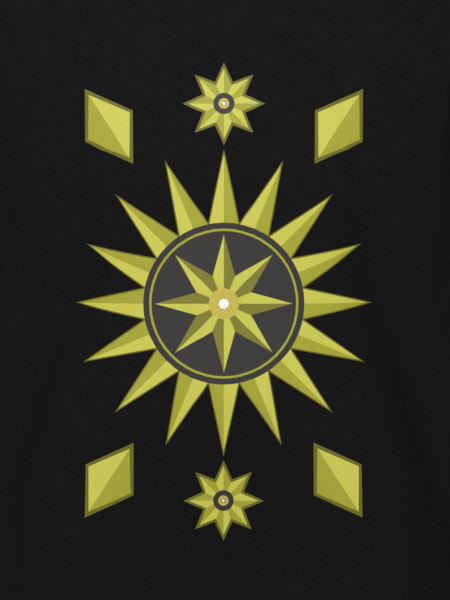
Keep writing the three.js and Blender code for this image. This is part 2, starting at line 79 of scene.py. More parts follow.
def smooth_curve(*stations):
    """A function that runs smoothly through (place, value) stations."""
    places, values = zip(*stations)
    last = len(stations) - 1
    slopes = []
    for i in range(last + 1):
        before, after = max(i - 1, 0), min(i + 1, last)
        slopes.append((values[after] - values[before]) / (places[after] - places[before]))

    def value_at(place):
        place = min(max(place, places[0]), places[last])
        i = 0
        while i < last - 1 and place > places[i + 1]:
            i += 1
        span = places[i + 1] - places[i]
        t = (place - places[i]) / span
        rise = t * t * (3 - 2 * t)
        bend = span * t * (1 - t) * (slopes[i] * (1 - t) - slopes[i + 1] * t)
        return values[i] * (1 - rise) + values[i + 1] * rise + bend

    return value_at


ROUNDNESS = 2.4  # 2 would make the level cuts ellipses
CAP_HEIGHTS = {FRONT: 0.250, BACK: 0.150}
BELOW_ARMPIT = ((HEM_Z, 0.229), (-0.560, 0.222), (-0.420, 0.215), (-0.300, 0.213), (ARMPIT_Z, 0.214))
cloth_side = smooth_curve(
    *BELOW_ARMPIT, (-0.200, 0.206), (-0.150, 0.200), (-0.100, 0.205), (TIP_Z, SHOULDER_HALF),
    (0, SHOULDER_HALF),
)
form_side = smooth_curve(
    *BELOW_ARMPIT, (-0.200, 0.224), (-0.150, 0.233), (-0.100, 0.240), (TIP_Z, 0.246), (0, 0.248)
)
depth_at = {
    FRONT: smooth_curve(
        (HEM_Z, 0.092), (-0.560, 0.095), (-0.400, 0.106), (-0.270, 0.116), (-0.150, 0.104), (0, 0.076)
    ),
    BACK: smooth_curve(
        (HEM_Z, 0.098), (-0.560, 0.090), (-0.430, 0.088), (-0.240, 0.110), (-0.120, 0.104), (0, 0.082)
    ),
}
shoulder_line = smooth_curve(
    (0, 0.003), (0.050, 0.0025), (NECK_HALF, 0), (0.150, -0.019), (SHOULDER_HALF, TIP_Z), (0.260, -0.062)
)
print("chest:", round(4 * cloth_side(-0.27), 3), "m round the sides and middles, before the cloth is eased")

# %% [markdown]
# A body is never a plain tube under cloth. Where the chest and the shoulder blades stand out, the cloth
# falls from them in long soft folds. The formula starts those folds, and the simulation deepens them.

# %% Folds and points of the torso
FOLD_TOP_Z = -0.215
# Place round the body at the top and at the hem, and width, in degrees from the middle of the front;
# then the height in metres.
FOLDS = (
    (20, 38, 9, 0.007), (33, 60, 10, -0.015), (66, 80, 9, 0.009), (108, 104, 9, 0.009),
    (124, 128, 10, -0.013), (146, 152, 10, 0.009), (176, 184, 11, -0.009),
)


def share_between(value, start, end):
    """How far value is on the way from start to end, kept from 0 to 1."""
    return min(max((value - start) / (end - start), 0), 1)


def fold_height(degrees, z):
    """How far the folds lift the cloth at a place round the body."""
    down = share_between(z, FOLD_TOP_Z, HEM_Z)
    grown = math.sin(down * math.pi / 2) ** 1.3
    total = 0
    for top, hem, width, height in FOLDS:
        place = top + (hem - top) * down
        total += height * grown * math.exp(-(((abs(degrees) - place) / width) ** 2))
    return total


def cap_share(side, x, z, lower=0):
    """How far the body stands out below the shoulder line: 0 on the line, 1 well below it."""
    under = share_between(shoulder_line(abs(x)) - lower - z, 0, CAP_HEIGHTS[side])
    return math.sqrt(1 - (1 - under) ** 2)


def torso_point(side, x, z):
    """A point of the worn shirt's body, on its front or back."""
    reach = min(abs(x) / form_side(z), 1)
    level = (1 - reach**ROUNDNESS) ** (1 / ROUNDNESS)
    depth = depth_at[side](z) * level * cap_share(side, x, z)
    turned = math.degrees(math.asin(reach ** (ROUNDNESS / 2)))
    fold = fold_height(turned if side == FRONT else 180 - turned, z)
    out = Vector((x / form_side(z) ** 2, side * depth / depth_at[FRONT](z) ** 2)).normalized()
    return Vector((x + out.x * fold, side * depth + out.y * fold, z))


def neck_seam(side, angle, below=0):
    """Where the neck seam is, or a line below it, as (x, z). The angle is from the middle."""
    return (NECK_HALF + below) * math.sin(angle), -(NECK_DROPS[side] + below) * math.cos(angle)


CHEST_MIDDLE_Z = -0.366
print("middle of the chest:", [round(c, 3) for c in torso_point(FRONT, 0, CHEST_MIDDLE_Z)])

# %% [markdown]
# ## Cutting the cloth
#
# Each piece of cloth starts as a flat grid, `bmesh.ops.create_grid`, and its points are moved to where
# they are worn. A cloth simulation and a subdivision surface like such tidy rows and columns best. The
# rows are closer together at the hem, where the stitches will be.
#
# Each point also carries notes for later: where it was worn before the simulation, how it was cut, how
# high above the hem it is, and how it lies flat. The flat place is the UV map that the knit follows.

# %% Rows and columns of the pieces
NECK_COLUMNS = 14
SHOULDER_COLUMNS = 16
HALF_COLUMNS = NECK_COLUMNS + SHOULDER_COLUMNS
HEM_HEIGHTS = (0, 0.005, LOWER_NEEDLE, 0.017, UPPER_NEEDLE, 0.0235, 0.030)
BODY_ROWS = 48
ARMHOLE_ROWS = 26
SLEEVE_ROWS = 20
EASE = 0.105  # the body is cut this much wider than it is worn, at the hem
EASE_AT_CHEST = 0.35  # of that
EASE_VARIES, EASE_PATCH = 0.9, 0.13  # how uneven it is, and over what length
RAISE = math.radians(6)  # a sleeve is cut for an arm held a little higher


def column_top(side, column):
    """Where a column of the body meets the neck seam or the shoulder seam, as (x, z)."""
    if column <= NECK_COLUMNS:
        return neck_seam(side, math.pi / 2 * (1 - (1 - column / NECK_COLUMNS) ** 2))
    x = NECK_HALF + (SHOULDER_HALF - NECK_HALF) * (column - NECK_COLUMNS) / SHOULDER_COLUMNS
    return x, shoulder_line(x)


def armhole_share(row):
    """How far up the armhole a row is, from 0 at the armpit to 1 at the shoulder seam."""
    return (1 - math.cos(row * math.pi / ARMHOLE_ROWS)) / 4 + row / ARMHOLE_ROWS / 2


def body_point(side, row, column):
    """A point of the front or back piece as worn."""
    across = column - HALF_COLUMNS
    top_x, top_z = column_top(side, abs(across))
    spread = math.sin(abs(across) * math.pi / 2 / HALF_COLUMNS) ** (2 / ROUNDNESS)
    plain_row = row - len(HEM_HEIGHTS) + 1
    rise = 0
    if plain_row <= 0:
        z = HEM_Z + HEM_HEIGHTS[row]
    elif plain_row <= BODY_ROWS:
        first = HEM_Z + HEM_HEIGHTS[-1]
        z = first + (ARMPIT_Z - first) * plain_row / BODY_ROWS
    else:
        rise = armhole_share(plain_row - BODY_ROWS)
        z = ARMPIT_Z + (top_z - ARMPIT_Z) * rise
    share = spread + (top_x / cloth_side(top_z) - spread) * rise
    return torso_point(side, math.copysign(share, across) * cloth_side(z), z)


def as_cut(worn):
    """Where a point of the body would be in the wider shape that it was cut to."""
    grown = EASE_AT_CHEST + (1 - EASE_AT_CHEST) * share_between(worn.z, -0.180, HEM_Z)
    uneven = 1 + EASE_VARIES * noise.noise(worn / EASE_PATCH)
    wider = 1 + EASE * uneven * grown * share_between(worn.z, -0.100, -0.240)
    return Vector((worn.x * wider, worn.y * wider, worn.z))


# %% [markdown]
# A sleeve is lofted from the armhole to an oval end, with a Hermite curve: it leaves along the shoulder's
# slope and arrives square to its end. The same function, with the arm raised, gives the shape that the
# sleeve was cut to. The difference between the two makes the drag folds at a real armpit.

# %% Points of a sleeve
SLEEVE_MIDDLE = Vector((0.301, 0, -0.261))  # of its open end
SLEEVE_HALF = Vector((0.051, 0, 0.039))  # from there to the end's top
SLEEVE_END_DEPTH = 0.046
SHOULDER_SLOPE = Vector((0.93, 0, -0.36))
UNDERARM_SLOPE = Vector((0.4, 0, -0.92))
SLEEVE_FLARE = 0.25
SLEEVE_EASE = 0.110
ARM_PIVOT = Vector((0.205, 0, -0.120))
SLEEVE_COLUMNS = 2 * ARMHOLE_ROWS
SLEEVE_STEPS = [1 - height / SLEEVE_EASE for height in HEM_HEIGHTS]
SLEEVE_STEPS += [SLEEVE_STEPS[-1] * (1 - (row + 1) / SLEEVE_ROWS) for row in range(SLEEVE_ROWS)]


def armhole_point(turn):
    """A point of the armhole seam. The turn is 0 at the shoulder, positive down the front."""
    share = armhole_share(ARMHOLE_ROWS * (1 - abs(turn) / math.pi))
    z = ARMPIT_Z + (TIP_Z - ARMPIT_Z) * share
    return torso_point(FRONT if turn > 0 else BACK, cloth_side(z), z)


def sleeve_point(turn, along, raised=0.0):
    """A point of the left sleeve, from 0 at the armhole to 1 at its end."""
    lift = Matrix.Rotation(-raised, 3, "Y")
    middle = ARM_PIVOT + lift @ (SLEEVE_MIDDLE - ARM_PIVOT)
    half = lift @ SLEEVE_HALF
    top = Matrix.Rotation(-raised / 2, 3, "Y") @ SHOULDER_SLOPE
    leave = top.lerp(lift @ UNDERARM_SLOPE, (1 - math.cos(turn)) / 2)
    leave.y = -SLEEVE_FLARE * math.sin(turn)
    arrive = Vector((half.z, 0, -half.x)).normalized()
    end = middle + half * math.cos(turn)
    end.y = -SLEEVE_END_DEPTH * math.sin(turn)
    point = armhole_point(turn).lerp(end, along * along * (3 - 2 * along))
    point += leave.normalized() * (SLEEVE_EASE * along * (1 - along) ** 2)
    return point - arrive * (SLEEVE_EASE * along**2 * (1 - along))


def sleeve_grid_point(hand, row, column, raised=0.0):
    """The same for a row and column of a sleeve's grid, on the left (1) or the right (-1)."""
    turn = math.pi * (2 * column / SLEEVE_COLUMNS - 1)
    return sleeve_point(turn, SLEEVE_STEPS[row], raised) * Vector((hand, 1, 1))


print("sleeve:", round((sleeve_point(0, 0) - sleeve_point(0, 1)).length, 3), "m along its top")

# %% [markdown]
# ## Sewing
#
# All four pieces go into one bmesh. Where two edges lie on each other, `remove_doubles` sews them: from
# then on they are one line of points. Each face keeps the number of its piece, so that the shirt can be
# taken apart again after the simulation.

# %% Helpers for grids of points


def add_grid(bm, rows, columns):
    """Adds a grid and gives, for each of its points, how far up and how far across it is, from 0 to 1."""
    verts = bmesh.ops.create_grid(bm, x_segments=columns, y_segments=rows, size=1)["verts"]
    return {vert: ((vert.co.y + 1) / 2, (vert.co.x + 1) / 2) for vert in verts}


def write_flat(bm, places):
    """Writes where points lie flat to the UV map that the knit follows."""
    flat = bm.loops.layers.uv["flat"]
    for vert, place in places.items():
        for loop in vert.link_loops:
            loop[flat].uv = place


def weld(bm, distance):
    """Joins points that lie on each other, and turns all faces outwards."""
    bmesh.ops.remove_doubles(bm, verts=bm.verts, dist=distance)
    bmesh.ops.recalc_face_normals(bm, faces=bm.faces)


def lay_flat(points):
    """How a grid of points lies flat: across from its middle column, and up from its lowest row."""
    across = np.linalg.norm(np.diff(points, axis=1), axis=2).cumsum(axis=1)
    across = np.pad(across, ((0, 0), (1, 0)))
    across -= across[:, across.shape[1] // 2][:, None]
    up = np.linalg.norm(np.diff(points, axis=0), axis=2).cumsum(axis=0)
    return np.stack([across, np.pad(up, ((1, 0), (0, 0)))], axis=2)


# %% Cut the pieces and sew them
FRONT_PIECE, BACK_PIECE, LEFT_SLEEVE, RIGHT_SLEEVE = range(4)


def add_cloth(bm, piece, rows, columns, worn_at, cut_at):
    """Adds one piece of cloth to the bmesh: a flat grid, moved to where it is worn."""
    grid = add_grid(bm, rows, columns)
    spots = {vert: (round(up * rows), round(across * columns)) for vert, (up, across) in grid.items()}
    points = np.array([[worn_at(row, column) for column in range(columns + 1)] for row in range(rows + 1)])
    flat = lay_flat(points)
    notes = bm.verts.layers
    for vert, (row, column) in spots.items():
        vert.co = points[row, column]
        vert[notes.float_vector["worn"]] = vert.co
        vert[notes.float_vector["cut"]] = cut_at(row, column)
        vert[notes.float["above_hem"]] = HEM_HEIGHTS[row] if row < len(HEM_HEIGHTS) else 1
        vert[notes.int["seam"]] = int(column in (0, columns) or row == rows)
        for face in vert.link_faces:
            face[bm.faces.layers.int["piece"]] = piece
    write_flat(bm, {vert: flat[spot] for vert, spot in spots.items()})


def sew_shirt():
    """The whole shirt as one open mesh, sewn along its seams."""
    bm = bmesh.new()
    for name in ("worn", "cut"):
        bm.verts.layers.float_vector.new(name)
    bm.verts.layers.float.new("above_hem")
    bm.verts.layers.int.new("seam")
    bm.faces.layers.int.new("piece")
    bm.loops.layers.uv.new("flat")
    body_rows = len(HEM_HEIGHTS) - 1 + BODY_ROWS + ARMHOLE_ROWS
    for piece, side in ((FRONT_PIECE, FRONT), (BACK_PIECE, BACK)):
        place = lambda row, column: body_point(side, row, column)
        add_cloth(bm, piece, body_rows, 2 * HALF_COLUMNS, place, lambda r, c: as_cut(place(r, c)))
    for piece, hand in ((LEFT_SLEEVE, 1), (RIGHT_SLEEVE, -1)):
        place = lambda row, column: sleeve_grid_point(hand, row, column)
        raised = lambda row, column: sleeve_grid_point(hand, row, column, RAISE)
        add_cloth(bm, piece, len(SLEEVE_STEPS) - 1, SLEEVE_COLUMNS, place, raised)
    before = len(bm.verts)
    weld(bm, 1e-5)
    chest = min(bm.faces, key=lambda face: face.calc_center_median().y)
    if chest.normal.y > 0:
        bmesh.ops.reverse_faces(bm, faces=bm.faces)
    print("sewn:", before - len(bm.verts), "points joined,", len(bm.verts), "left")
    return bm


sewn = sew_shirt()

# %% [markdown]
# ## Hanging the shirt on a wearer
#
# Folds could be sculpted, but real ones follow from gravity and from where the cloth is caught, and a
# simulation finds them by itself. It needs a body for the cloth to lie on, points that hold it, and some
# spare cloth. The body is a slimmer copy of the shirt's own shape, with two upper arms. The collar and
# the shoulder seams hold the shirt. The spare cloth comes from the shape it was cut to, which the Cloth
# modifier reads from a shape key as its rest shape.

# %% Helpers that put things in the scene


def to_mesh(bm, name):
    """Makes a mesh of a bmesh, which isn't needed after that."""
    mesh = bpy.data.meshes.new(name)
    bm.to_mesh(mesh)
    bm.free()
    return mesh


def add_object(name, data):
    made = bpy.data.objects.new(name, data)
    bpy.context.scene.collection.objects.link(made)
    return made


def fuller(value, power):
    """A sine or cosine raised to a power, with its sign kept. Below 1 it squares a round section."""
    return math.copysign(abs(value) ** power, value)


# %% A wearer's shape for the cloth to lie on
BODY_AROUND, BODY_UP = 64, 68
BODY_FOOT_Z, BODY_TOP_Z = -0.780, -0.012
BODY_GAP = 0.0035  # between the body and the worn shape
WAIST_GAP = 0.034  # more than that, below the chest
SIDE_GAP = 0.002
SHOULDER_GAP = 0.004
LEAST_DEPTH = 0.0002
ARM_AROUND, ARM_ALONG = 32, 13
ARM_LENGTHS = 1.3  # how long the arm is, in sleeves
ARM_REACH = 0.05  # past the sleeve's end
ARM_HEIGHT = 0.42  # of its middle, from the top of the sleeve down
SLACK_AT_HEAD, SLACK_AT_END = 0.05, 0.23  # how much slimmer the arm is than the sleeve
SLACK_ACROSS = 0.25  # of that, from front to back


def wearer_point(up, around):
    """A point of the wearer's body, a little inside the shirt and slimmer at the waist."""
    z = BODY_FOOT_Z + (BODY_TOP_Z - BODY_FOOT_Z) * up
    inside = BODY_GAP + WAIST_GAP * share_between(z, -0.270, -0.440) ** 1.3
    turn = 2 * math.pi * around
    side = FRONT if math.cos(turn) > 0 else BACK
    x = (form_side(z) - inside - SIDE_GAP) * fuller(math.sin(turn), 2 / ROUNDNESS)
    level = abs(math.cos(turn)) ** (2 / ROUNDNESS)
    depth = (depth_at[side](z) - inside) * level * cap_share(side, x, z, SHOULDER_GAP)
    return Vector((x, side * max(depth, LEAST_DEPTH), z))


def arm_point(along, around):
    """A point of the left upper arm: the sleeve's shape, slimmer, and a little longer."""
    share = min(along * ARM_LENGTHS, 1)
    middle = sleeve_point(0, share).lerp(sleeve_point(math.pi, share), ARM_HEIGHT)
    slack = SLACK_AT_HEAD + (SLACK_AT_END - SLACK_AT_HEAD) * share
    skin = sleeve_point(math.pi * (2 * around - 1), share)
    point = skin.lerp(middle, slack)
    point.y = skin.y * (1 - slack * SLACK_ACROSS)
    onward = Vector((SLEEVE_HALF.z, 0, -SLEEVE_HALF.x)).normalized()
    return point + onward * ARM_REACH * max(along * ARM_LENGTHS - 1, 0) / (ARM_LENGTHS - 1)


def tube(name, rows, columns, point_at):
    """A tube whose points are given by how far along and how far round they are."""
    bm = bmesh.new()
    for vert, (up, around) in add_grid(bm, rows, columns).items():
        vert.co = point_at(up, around)
    weld(bm, 1e-6)
    return add_object(name, to_mesh(bm, name))


def wearer():
    """The body and the two arms, as objects that cloth can't pass."""
    right_arm = lambda along, around: arm_point(along, around) * Vector((-1, 1, 1))
    parts = [
        tube("wearer_body", BODY_UP, BODY_AROUND, wearer_point),
        tube("wearer_left_arm", ARM_ALONG, ARM_AROUND, arm_point),
        tube("wearer_right_arm", ARM_ALONG, ARM_AROUND, right_arm),
    ]
    for part in parts:
        part.modifiers.new("collision", "COLLISION")
        part.collision.thickness_outer = 0.001
        part.collision.cloth_friction = 8
    return parts


# %% [markdown]
# The simulation runs for 40 frames, long enough for the hem to come to rest. The points round the neck
# and on the shoulders are pinned, and the upper chest very softly, so that the print stays as level as
# on a real chest. Then only the new places of the points are kept, and the wearer goes away.

# %% Let the cloth fall
FALL_FRAMES = 40
SOFT_PIN = 0.01
SOFT_PIN_BELOW = -0.330
SOFT_PIN_HALF = 0.170


def hold_strength(point):
    """How firmly a point of the shirt is held, from 0 to 1."""
    drop = NECK_DROPS[FRONT if point.y < 0 else BACK]
    if math.hypot(point.x / NECK_HALF, min(point.z, 0) / drop) < 1.06:
        return 1
    if abs(point.y) < 0.001 and point.z > TIP_Z - 0.001:
        return 1
    on_chest = point.y < 0 and point.z > SOFT_PIN_BELOW and abs(point.x) < SOFT_PIN_HALF
    return SOFT_PIN if on_chest else 0


def make_it_cloth(shirt):
    """Gives the shirt a Cloth modifier with the feel of light cotton jersey."""
    cloth = shirt.modifiers.new("cloth", "CLOTH")
    feel = cloth.settings
    feel.quality = 6
    feel.mass = 0.15
    feel.tension_stiffness = feel.compression_stiffness = 40
    feel.shear_stiffness = 16
    feel.bending_stiffness = 0.15
    feel.tension_damping = feel.compression_damping = feel.shear_damping = 5
    feel.bending_damping = 0.5
    feel.air_damping = 2
    feel.vertex_group_mass = "held"
    feel.rest_shape_key = shirt.data.shape_keys.key_blocks["cut"]
    cloth.collision_settings.distance_min = 0.002
    cloth.collision_settings.collision_quality = 2
    cloth.collision_settings.use_self_collision = False
    cloth.point_cache.frame_end = FALL_FRAMES


def falling_shirt():
    """The sewn shirt as an object, with the shape it was cut to and the points that hold it."""
    mesh = to_mesh(sewn.copy(), "falling_shirt")
    shirt = add_object("falling_shirt", mesh)
    shirt.shape_key_add(name="Basis")
    cut = shirt.shape_key_add(name="cut")
    for point, note in zip(cut.data, mesh.attributes["cut"].data):
        point.co = note.vector
    held = shirt.vertex_groups.new(name="held")
    for vert in mesh.vertices:
        strength = hold_strength(vert.co)
        if strength:
            held.add([vert.index], strength, "REPLACE")
    return shirt


def let_it_fall():
    """Moves the points of the sewn shirt to where the simulation leaves them."""
    scene = bpy.context.scene
    shirt = falling_shirt()
    body = wearer()
    make_it_cloth(shirt)
    scene.frame_end = FALL_FRAMES
    for step in range(1, FALL_FRAMES + 1):
        scene.frame_set(step)
    fallen = shirt.evaluated_get(bpy.context.evaluated_depsgraph_get()).data
    farthest = 0
    for new, vert in zip(fallen.vertices, sewn.verts):
        farthest = max(farthest, (new.co - vert.co).length)
        vert.co = new.co
    print("the cloth moved by up to", round(farthest, 4), "m")
    for part in [shirt, *body]:
        bpy.data.objects.remove(part)
    scene.frame_set(1)


let_it_fall()

# %% [markdown]
# A standing wearer also pulls the cloth from each armpit down and outwards. The photograph shows it as
# two broad dark bands beside the print, with a rounder stretch between them. The simulation finds only
# a hint of them, so they are modelled: a soft valley on each side, a low ridge beside it, and a
# hollow below the chest. Each is a bell curve across and fades at its ends.

# %% Long folds from the armpits
valley_line = smooth_curve(
    (-0.640, 0.212), (-0.526, 0.194), (-0.450, 0.170), (-0.358, 0.138), (-0.270, 0.118)
)
ridge_line = smooth_curve((-0.700, 0.130), (-0.600, 0.116), (-0.430, 0.078))
VALLEY_DEPTH, VALLEY_WIDTH = 0.0185, 0.026
RIDGE_HEIGHT, RIDGE_WIDTH = 0.0060, 0.026
HOLLOW_DEPTH, HOLLOW_WIDTH = 0.026, 0.090


def bell(distance, width):
    return math.exp(-((distance / width) ** 2))


def long_fold(place):
    """How far the folds lift a worn point of the front."""
    x, z = abs(place.x), place.z
    valley = bell(x - valley_line(z), VALLEY_WIDTH) * VALLEY_DEPTH
    valley *= share_between(z, -0.235, -0.345) * (1 - 0.7 * share_between(z, -0.560, -0.700))
    ridge = bell(x - ridge_line(z), RIDGE_WIDTH) * RIDGE_HEIGHT * share_between(z, -0.400, -0.520)
    hollow = bell(x, HOLLOW_WIDTH) * HOLLOW_DEPTH * share_between(z, -0.450, -0.600)
    return ridge - valley - hollow


def press_long_folds(bm):
    """Moves the points of the front in and out by the long folds."""
    worn = bm.verts.layers.float_vector["worn"]
    bm.normal_update()
    lifts = [(v, v.normal * long_fold(v[worn])) for v in bm.verts if v[worn].y < -0.02]
    for vert, lift in lifts:
        vert.co += lift
    print("long folds: down to", round(min(long_fold(v[worn]) for v, _ in lifts), 4), "m")


press_long_folds(sewn)

# %% [markdown]
# ## Notes that survive the draping
#
# Stitches, tape and label are placed on the shape before the draping, because that is a formula. To find
# where such a point has gone, the smooth draped surface is kept with its starting shape. The nearest
# triangle of the starting shape tells which triangle of the draped one to use, and where on it.

# %% Follow a point from the formula to the draped cloth


def add_smoothing(piece):
    """Adds a Subdivision Surface that keeps the corners of open edges."""
    smooth = piece.modifiers.new("smooth", "SUBSURF")
    smooth.levels = smooth.render_levels = 1
    smooth.boundary_smooth = "PRESERVE_CORNERS"


def subdivided(bm):
    """The mesh that a Subdivision Surface makes of a bmesh, with all its notes."""
    mesh = to_mesh(bm.copy(), "to_subdivide")
    holder = add_object("to_subdivide", mesh)
    add_smoothing(holder)
    graph = bpy.context.evaluated_depsgraph_get()
    result = bpy.data.meshes.new_from_object(holder.evaluated_get(graph))
    bpy.data.objects.remove(holder)
    bpy.data.meshes.remove(mesh)
    return result


class DrapedCloth:
    """The draped surface, searched by where its points were worn before."""

    def __init__(self, bm):
        mesh = subdivided(bm)
        mesh.calc_loop_triangles()
        self.triangles = [tuple(triangle.vertices) for triangle in mesh.loop_triangles]
        self.before = [Vector(note.vector) for note in mesh.attributes["worn"].data]
        self.now = [vert.co.copy() for vert in mesh.vertices]
        self.normals = [vert.normal.copy() for vert in mesh.vertices]
        self.tree = BVHTree.FromPolygons(self.before, self.triangles)

    def above(self, worn, height):
        """The draped place of a worn point, at a height over the cloth, and the direction out of it."""
        place, _, index, _ = self.tree.find_nearest(worn)
        corners = self.triangles[index]
        shares = poly_3d_calc([self.before[i] for i in corners], place)
        now = sum((self.now[i] * share for i, share in zip(corners, shares)), Vector())
        out = sum((self.normals[i] * share for i, share in zip(corners, shares)), Vector()).normalized()
        return now + out * height, out


draped = DrapedCloth(sewn)
chest_now, chest_out = draped.above(torso_point(FRONT, 0, CHEST_MIDDLE_Z), 0)
print("middle of the print:", [round(c, 4) for c in chest_now], "facing", [round(c, 2) for c in chest_out])

# %% [markdown]
# ## Finishes
#
# Black cotton jersey is not flat black. Seen close, it is upright rows of small V-shaped stitches, the
# wales, with shaded hollows between them and a faint haze of fibres on top. They are far too many to
# model, so a node group draws their relief from the flat UV map, for the jersey, the ribbing and the
# ink, which is so thin that the knit shows through it. The group also gives a mask of the hollows, and
# the materials paint shade into their colour there.

# %% Small helpers for material nodes


def feed(tree, node, inputs):
    """Sets inputs of a node. Each is a number, a colour or another node's output."""
    for key, value in inputs.items():
        if isinstance(value, bpy.types.NodeSocket):
            tree.links.new(value, node.inputs[key])
        else:
            node.inputs[key].default_value = value


def add_node(tree, kind, inputs, **settings):
    """Adds a shader node and gives its outputs."""
    node = tree.nodes.new("ShaderNode" + kind)
    for name, value in settings.items():
        setattr(node, name, value)
    feed(tree, node, inputs)
    return node.outputs


def calculate(tree, operation, *values):
    return add_node(tree, "Math", dict(enumerate(values)), operation=operation)[0]


def mix_colours(tree, share, first, second):
    return add_node(tree, "Mix", {0: share, 6: first, 7: second}, data_type="RGBA")[2]


def grain(tree, vector, scale, detail=2):
    return add_node(tree, "TexNoise", {"Vector": vector, "Scale": scale, "Detail": detail})[0]


def linear(red, green, blue):
    """A colour from its 0 to 255 screen values, as Blender's sockets want it."""
    def one(value):
        value /= 255
        return value / 12.92 if value <= 0.04045 else ((value + 0.055) / 1.055) ** 2.4
    return one(red), one(green), one(blue), 1


def shade(colour, share):
    """A colour made darker or lighter."""
    return [c * share for c in colour[:3]] + [1]


# %% The relief of knitting, as a node group
WALE, COURSE = 0.00074, 0.00056  # one stitch of the jersey, across and up
SWAY = 0.5  # of a wale: how far the wales wander
SLANT = 0.6  # of a course: how far a stitch's leg leans
LEG_RELIEF = 0.24  # of the whole relief


def knitting():
    """Upright wales of V-shaped stitches. Wale and Course are the size of one stitch in metres."""
    group = bpy.data.node_groups.new("Knitting", "ShaderNodeTree")
    for name, kind in (("Flat", "Vector"), ("Wale", "Float"), ("Course", "Float")):
        group.interface.new_socket(name, in_out="INPUT", socket_type="NodeSocket" + kind)
    for name in ("Height", "Hollow"):
        group.interface.new_socket(name, in_out="OUTPUT", socket_type="NodeSocketFloat")
    start = group.nodes.new("NodeGroupInput").outputs
    parts = add_node(group, "SeparateXYZ", {0: start["Flat"]})
    unevenness = grain(group, start["Flat"], 90)
    sway = calculate(group, "MULTIPLY", calculate(group, "SUBTRACT", unevenness, 0.5), SWAY)
    across = calculate(group, "ADD", calculate(group, "DIVIDE", parts[0], start["Wale"]), sway)
    up = calculate(group, "DIVIDE", parts[1], start["Course"])
    inward = calculate(group, "MULTIPLY", calculate(group, "PINGPONG", across, 0.5), 2)
    slant = calculate(group, "ADD", up, calculate(group, "MULTIPLY", inward, SLANT))
    leg = calculate(group, "SINE", calculate(group, "MULTIPLY", slant, 2 * math.pi))
    leg = calculate(group, "MULTIPLY_ADD", leg, LEG_RELIEF, 1 - LEG_RELIEF)
    height = calculate(group, "MULTIPLY", leg, calculate(group, "POWER", inward, 0.4))
    hollow = calculate(group, "SUBTRACT", 1, height)
    feed(group, group.nodes.new("NodeGroupOutput"), {"Height": height, "Hollow": hollow})
    return group


KNITTING = knitting()
print("knitting group:", len(KNITTING.nodes), "nodes")

# %% [markdown]
# One function makes every knitted material. The base colour has painted shade in the knit's hollows, and
# it varies a little from place to place, as dyed cotton does. Cotton's haze of fibres is what the
# Principled shader calls sheen. It is the same all over, so it is set on the shader itself.

# %% Knitted materials


def start_material(name, roughness, specular):
    """A new material, its tree and shader, and where it reads the flat and the real place."""
    material = bpy.data.materials.new(name)
    material.use_nodes = True
    tree = material.node_tree
    shader = tree.nodes["Principled BSDF"]
    feed(tree, shader, {"Roughness": roughness, "Specular IOR Level": specular})
    flat = add_node(tree, "UVMap", {}, uv_map="flat")[0]
    place = add_node(tree, "TexCoord", {})["Object"]
    return material, tree, shader, flat, place


def lay_knitting(tree, flat, wale=WALE, course=COURSE):
    """Adds the knitting group with the size of one stitch."""
    return add_node(tree, "Group", {"Flat": flat, "Wale": wale, "Course": course}, node_tree=KNITTING)


def add_bump(tree, shader, height, depth, strength):
    bump = add_node(tree, "Bump", {"Distance": depth, "Strength": strength, "Height": height})[0]
    feed(tree, shader, {"Normal": bump})


def knitted(name, colour, hollow_shade_colour, wale, course, relief):
    """A knitted cotton with stitches of one size."""
    material, tree, shader, flat, place = start_material(name, 0.9, 0.03)
    feed(tree, shader, {"Sheen Weight": 0.003, "Sheen Roughness": 0.45})
    stitches = lay_knitting(tree, flat, wale, course)
    cloudy = grain(tree, place, 14, 4)
    fibres = grain(tree, place, 1400, 3)
    mottled = grain(tree, place, 420, 4)
    uneven = calculate(tree, "MULTIPLY_ADD", cloudy, 0.2, calculate(tree, "MULTIPLY", fibres, 0.2))
    uneven = calculate(tree, "MULTIPLY_ADD", mottled, 0.9, calculate(tree, "SUBTRACT", uneven, 0.15))
    dye = mix_colours(tree, uneven, shade(colour, 0.4), shade(colour, 1.9))
    # Painted shade: the base colour darkens toward a near-black shade colour in the knit's hollows.
    depth = calculate(tree, "MULTIPLY", stitches["Hollow"], 0.7)
    feed(tree, shader, {"Base Color": mix_colours(tree, depth, dye, hollow_shade_colour)})
    fuzz = calculate(tree, "MULTIPLY_ADD", fibres, 0.35, stitches["Height"])
    add_bump(tree, shader, fuzz, relief, 0.7)
    return material


# The second colour of each is the painted shade in the knit's hollows.
JERSEY = knitted("Black jersey", linear(25, 25, 25), linear(8, 8, 8), WALE, COURSE, 0.00016)
RIBBING = knitted("Black ribbing", linear(23, 23, 23), linear(7, 7, 7), 0.0008, 0.0007, 0.00018)

# %% [markdown]
# The ink is a thin rubbery film, matt and slightly glossy beside the cotton. On the real cloth it bridges
# the hollows of the knit but sinks a little into them, so it has the same relief with less depth. Its
# colour has painted shade there, patchy in strength.

# %% Inks, thread and label


def ink(name, colour):
    """One colour of screen-printing ink."""
    material, tree, shader, flat, place = start_material(name, 0.55, 0.2)
    stitches = lay_knitting(tree, flat)
    patchy = grain(tree, place, 900, 3)
    # Painted shade: the ink is darkened in the knit's hollows, patchily, toward a darker copy of its
    # colour.
    patchy_hollow_shade = calculate(tree, "MULTIPLY", stitches["Hollow"], patchy)
    patchy_hollow_shade = calculate(tree, "MULTIPLY", patchy_hollow_shade, 0.36)
    roughness = calculate(tree, "MULTIPLY_ADD", patchy, 0.25, 0.42)
    tone = mix_colours(tree, patchy_hollow_shade, colour, shade(colour, 0.45))
    feed(tree, shader, {"Base Color": tone, "Roughness": roughness})
    add_bump(tree, shader, stitches["Height"], 0.00006, 0.6)
    return material


def sewing_thread():
    """Spun polyester, with an uneven twist."""
    material, tree, shader, _, place = start_material("Black thread", 0.6, 0.12)
    strands = grain(tree, place, 2600, 1)
    feed(tree, shader, {"Base Color": mix_colours(tree, strands, linear(16, 16, 17), linear(46, 46, 48))})
    add_bump(tree, shader, strands, 0.0001, 0.8)
    return material


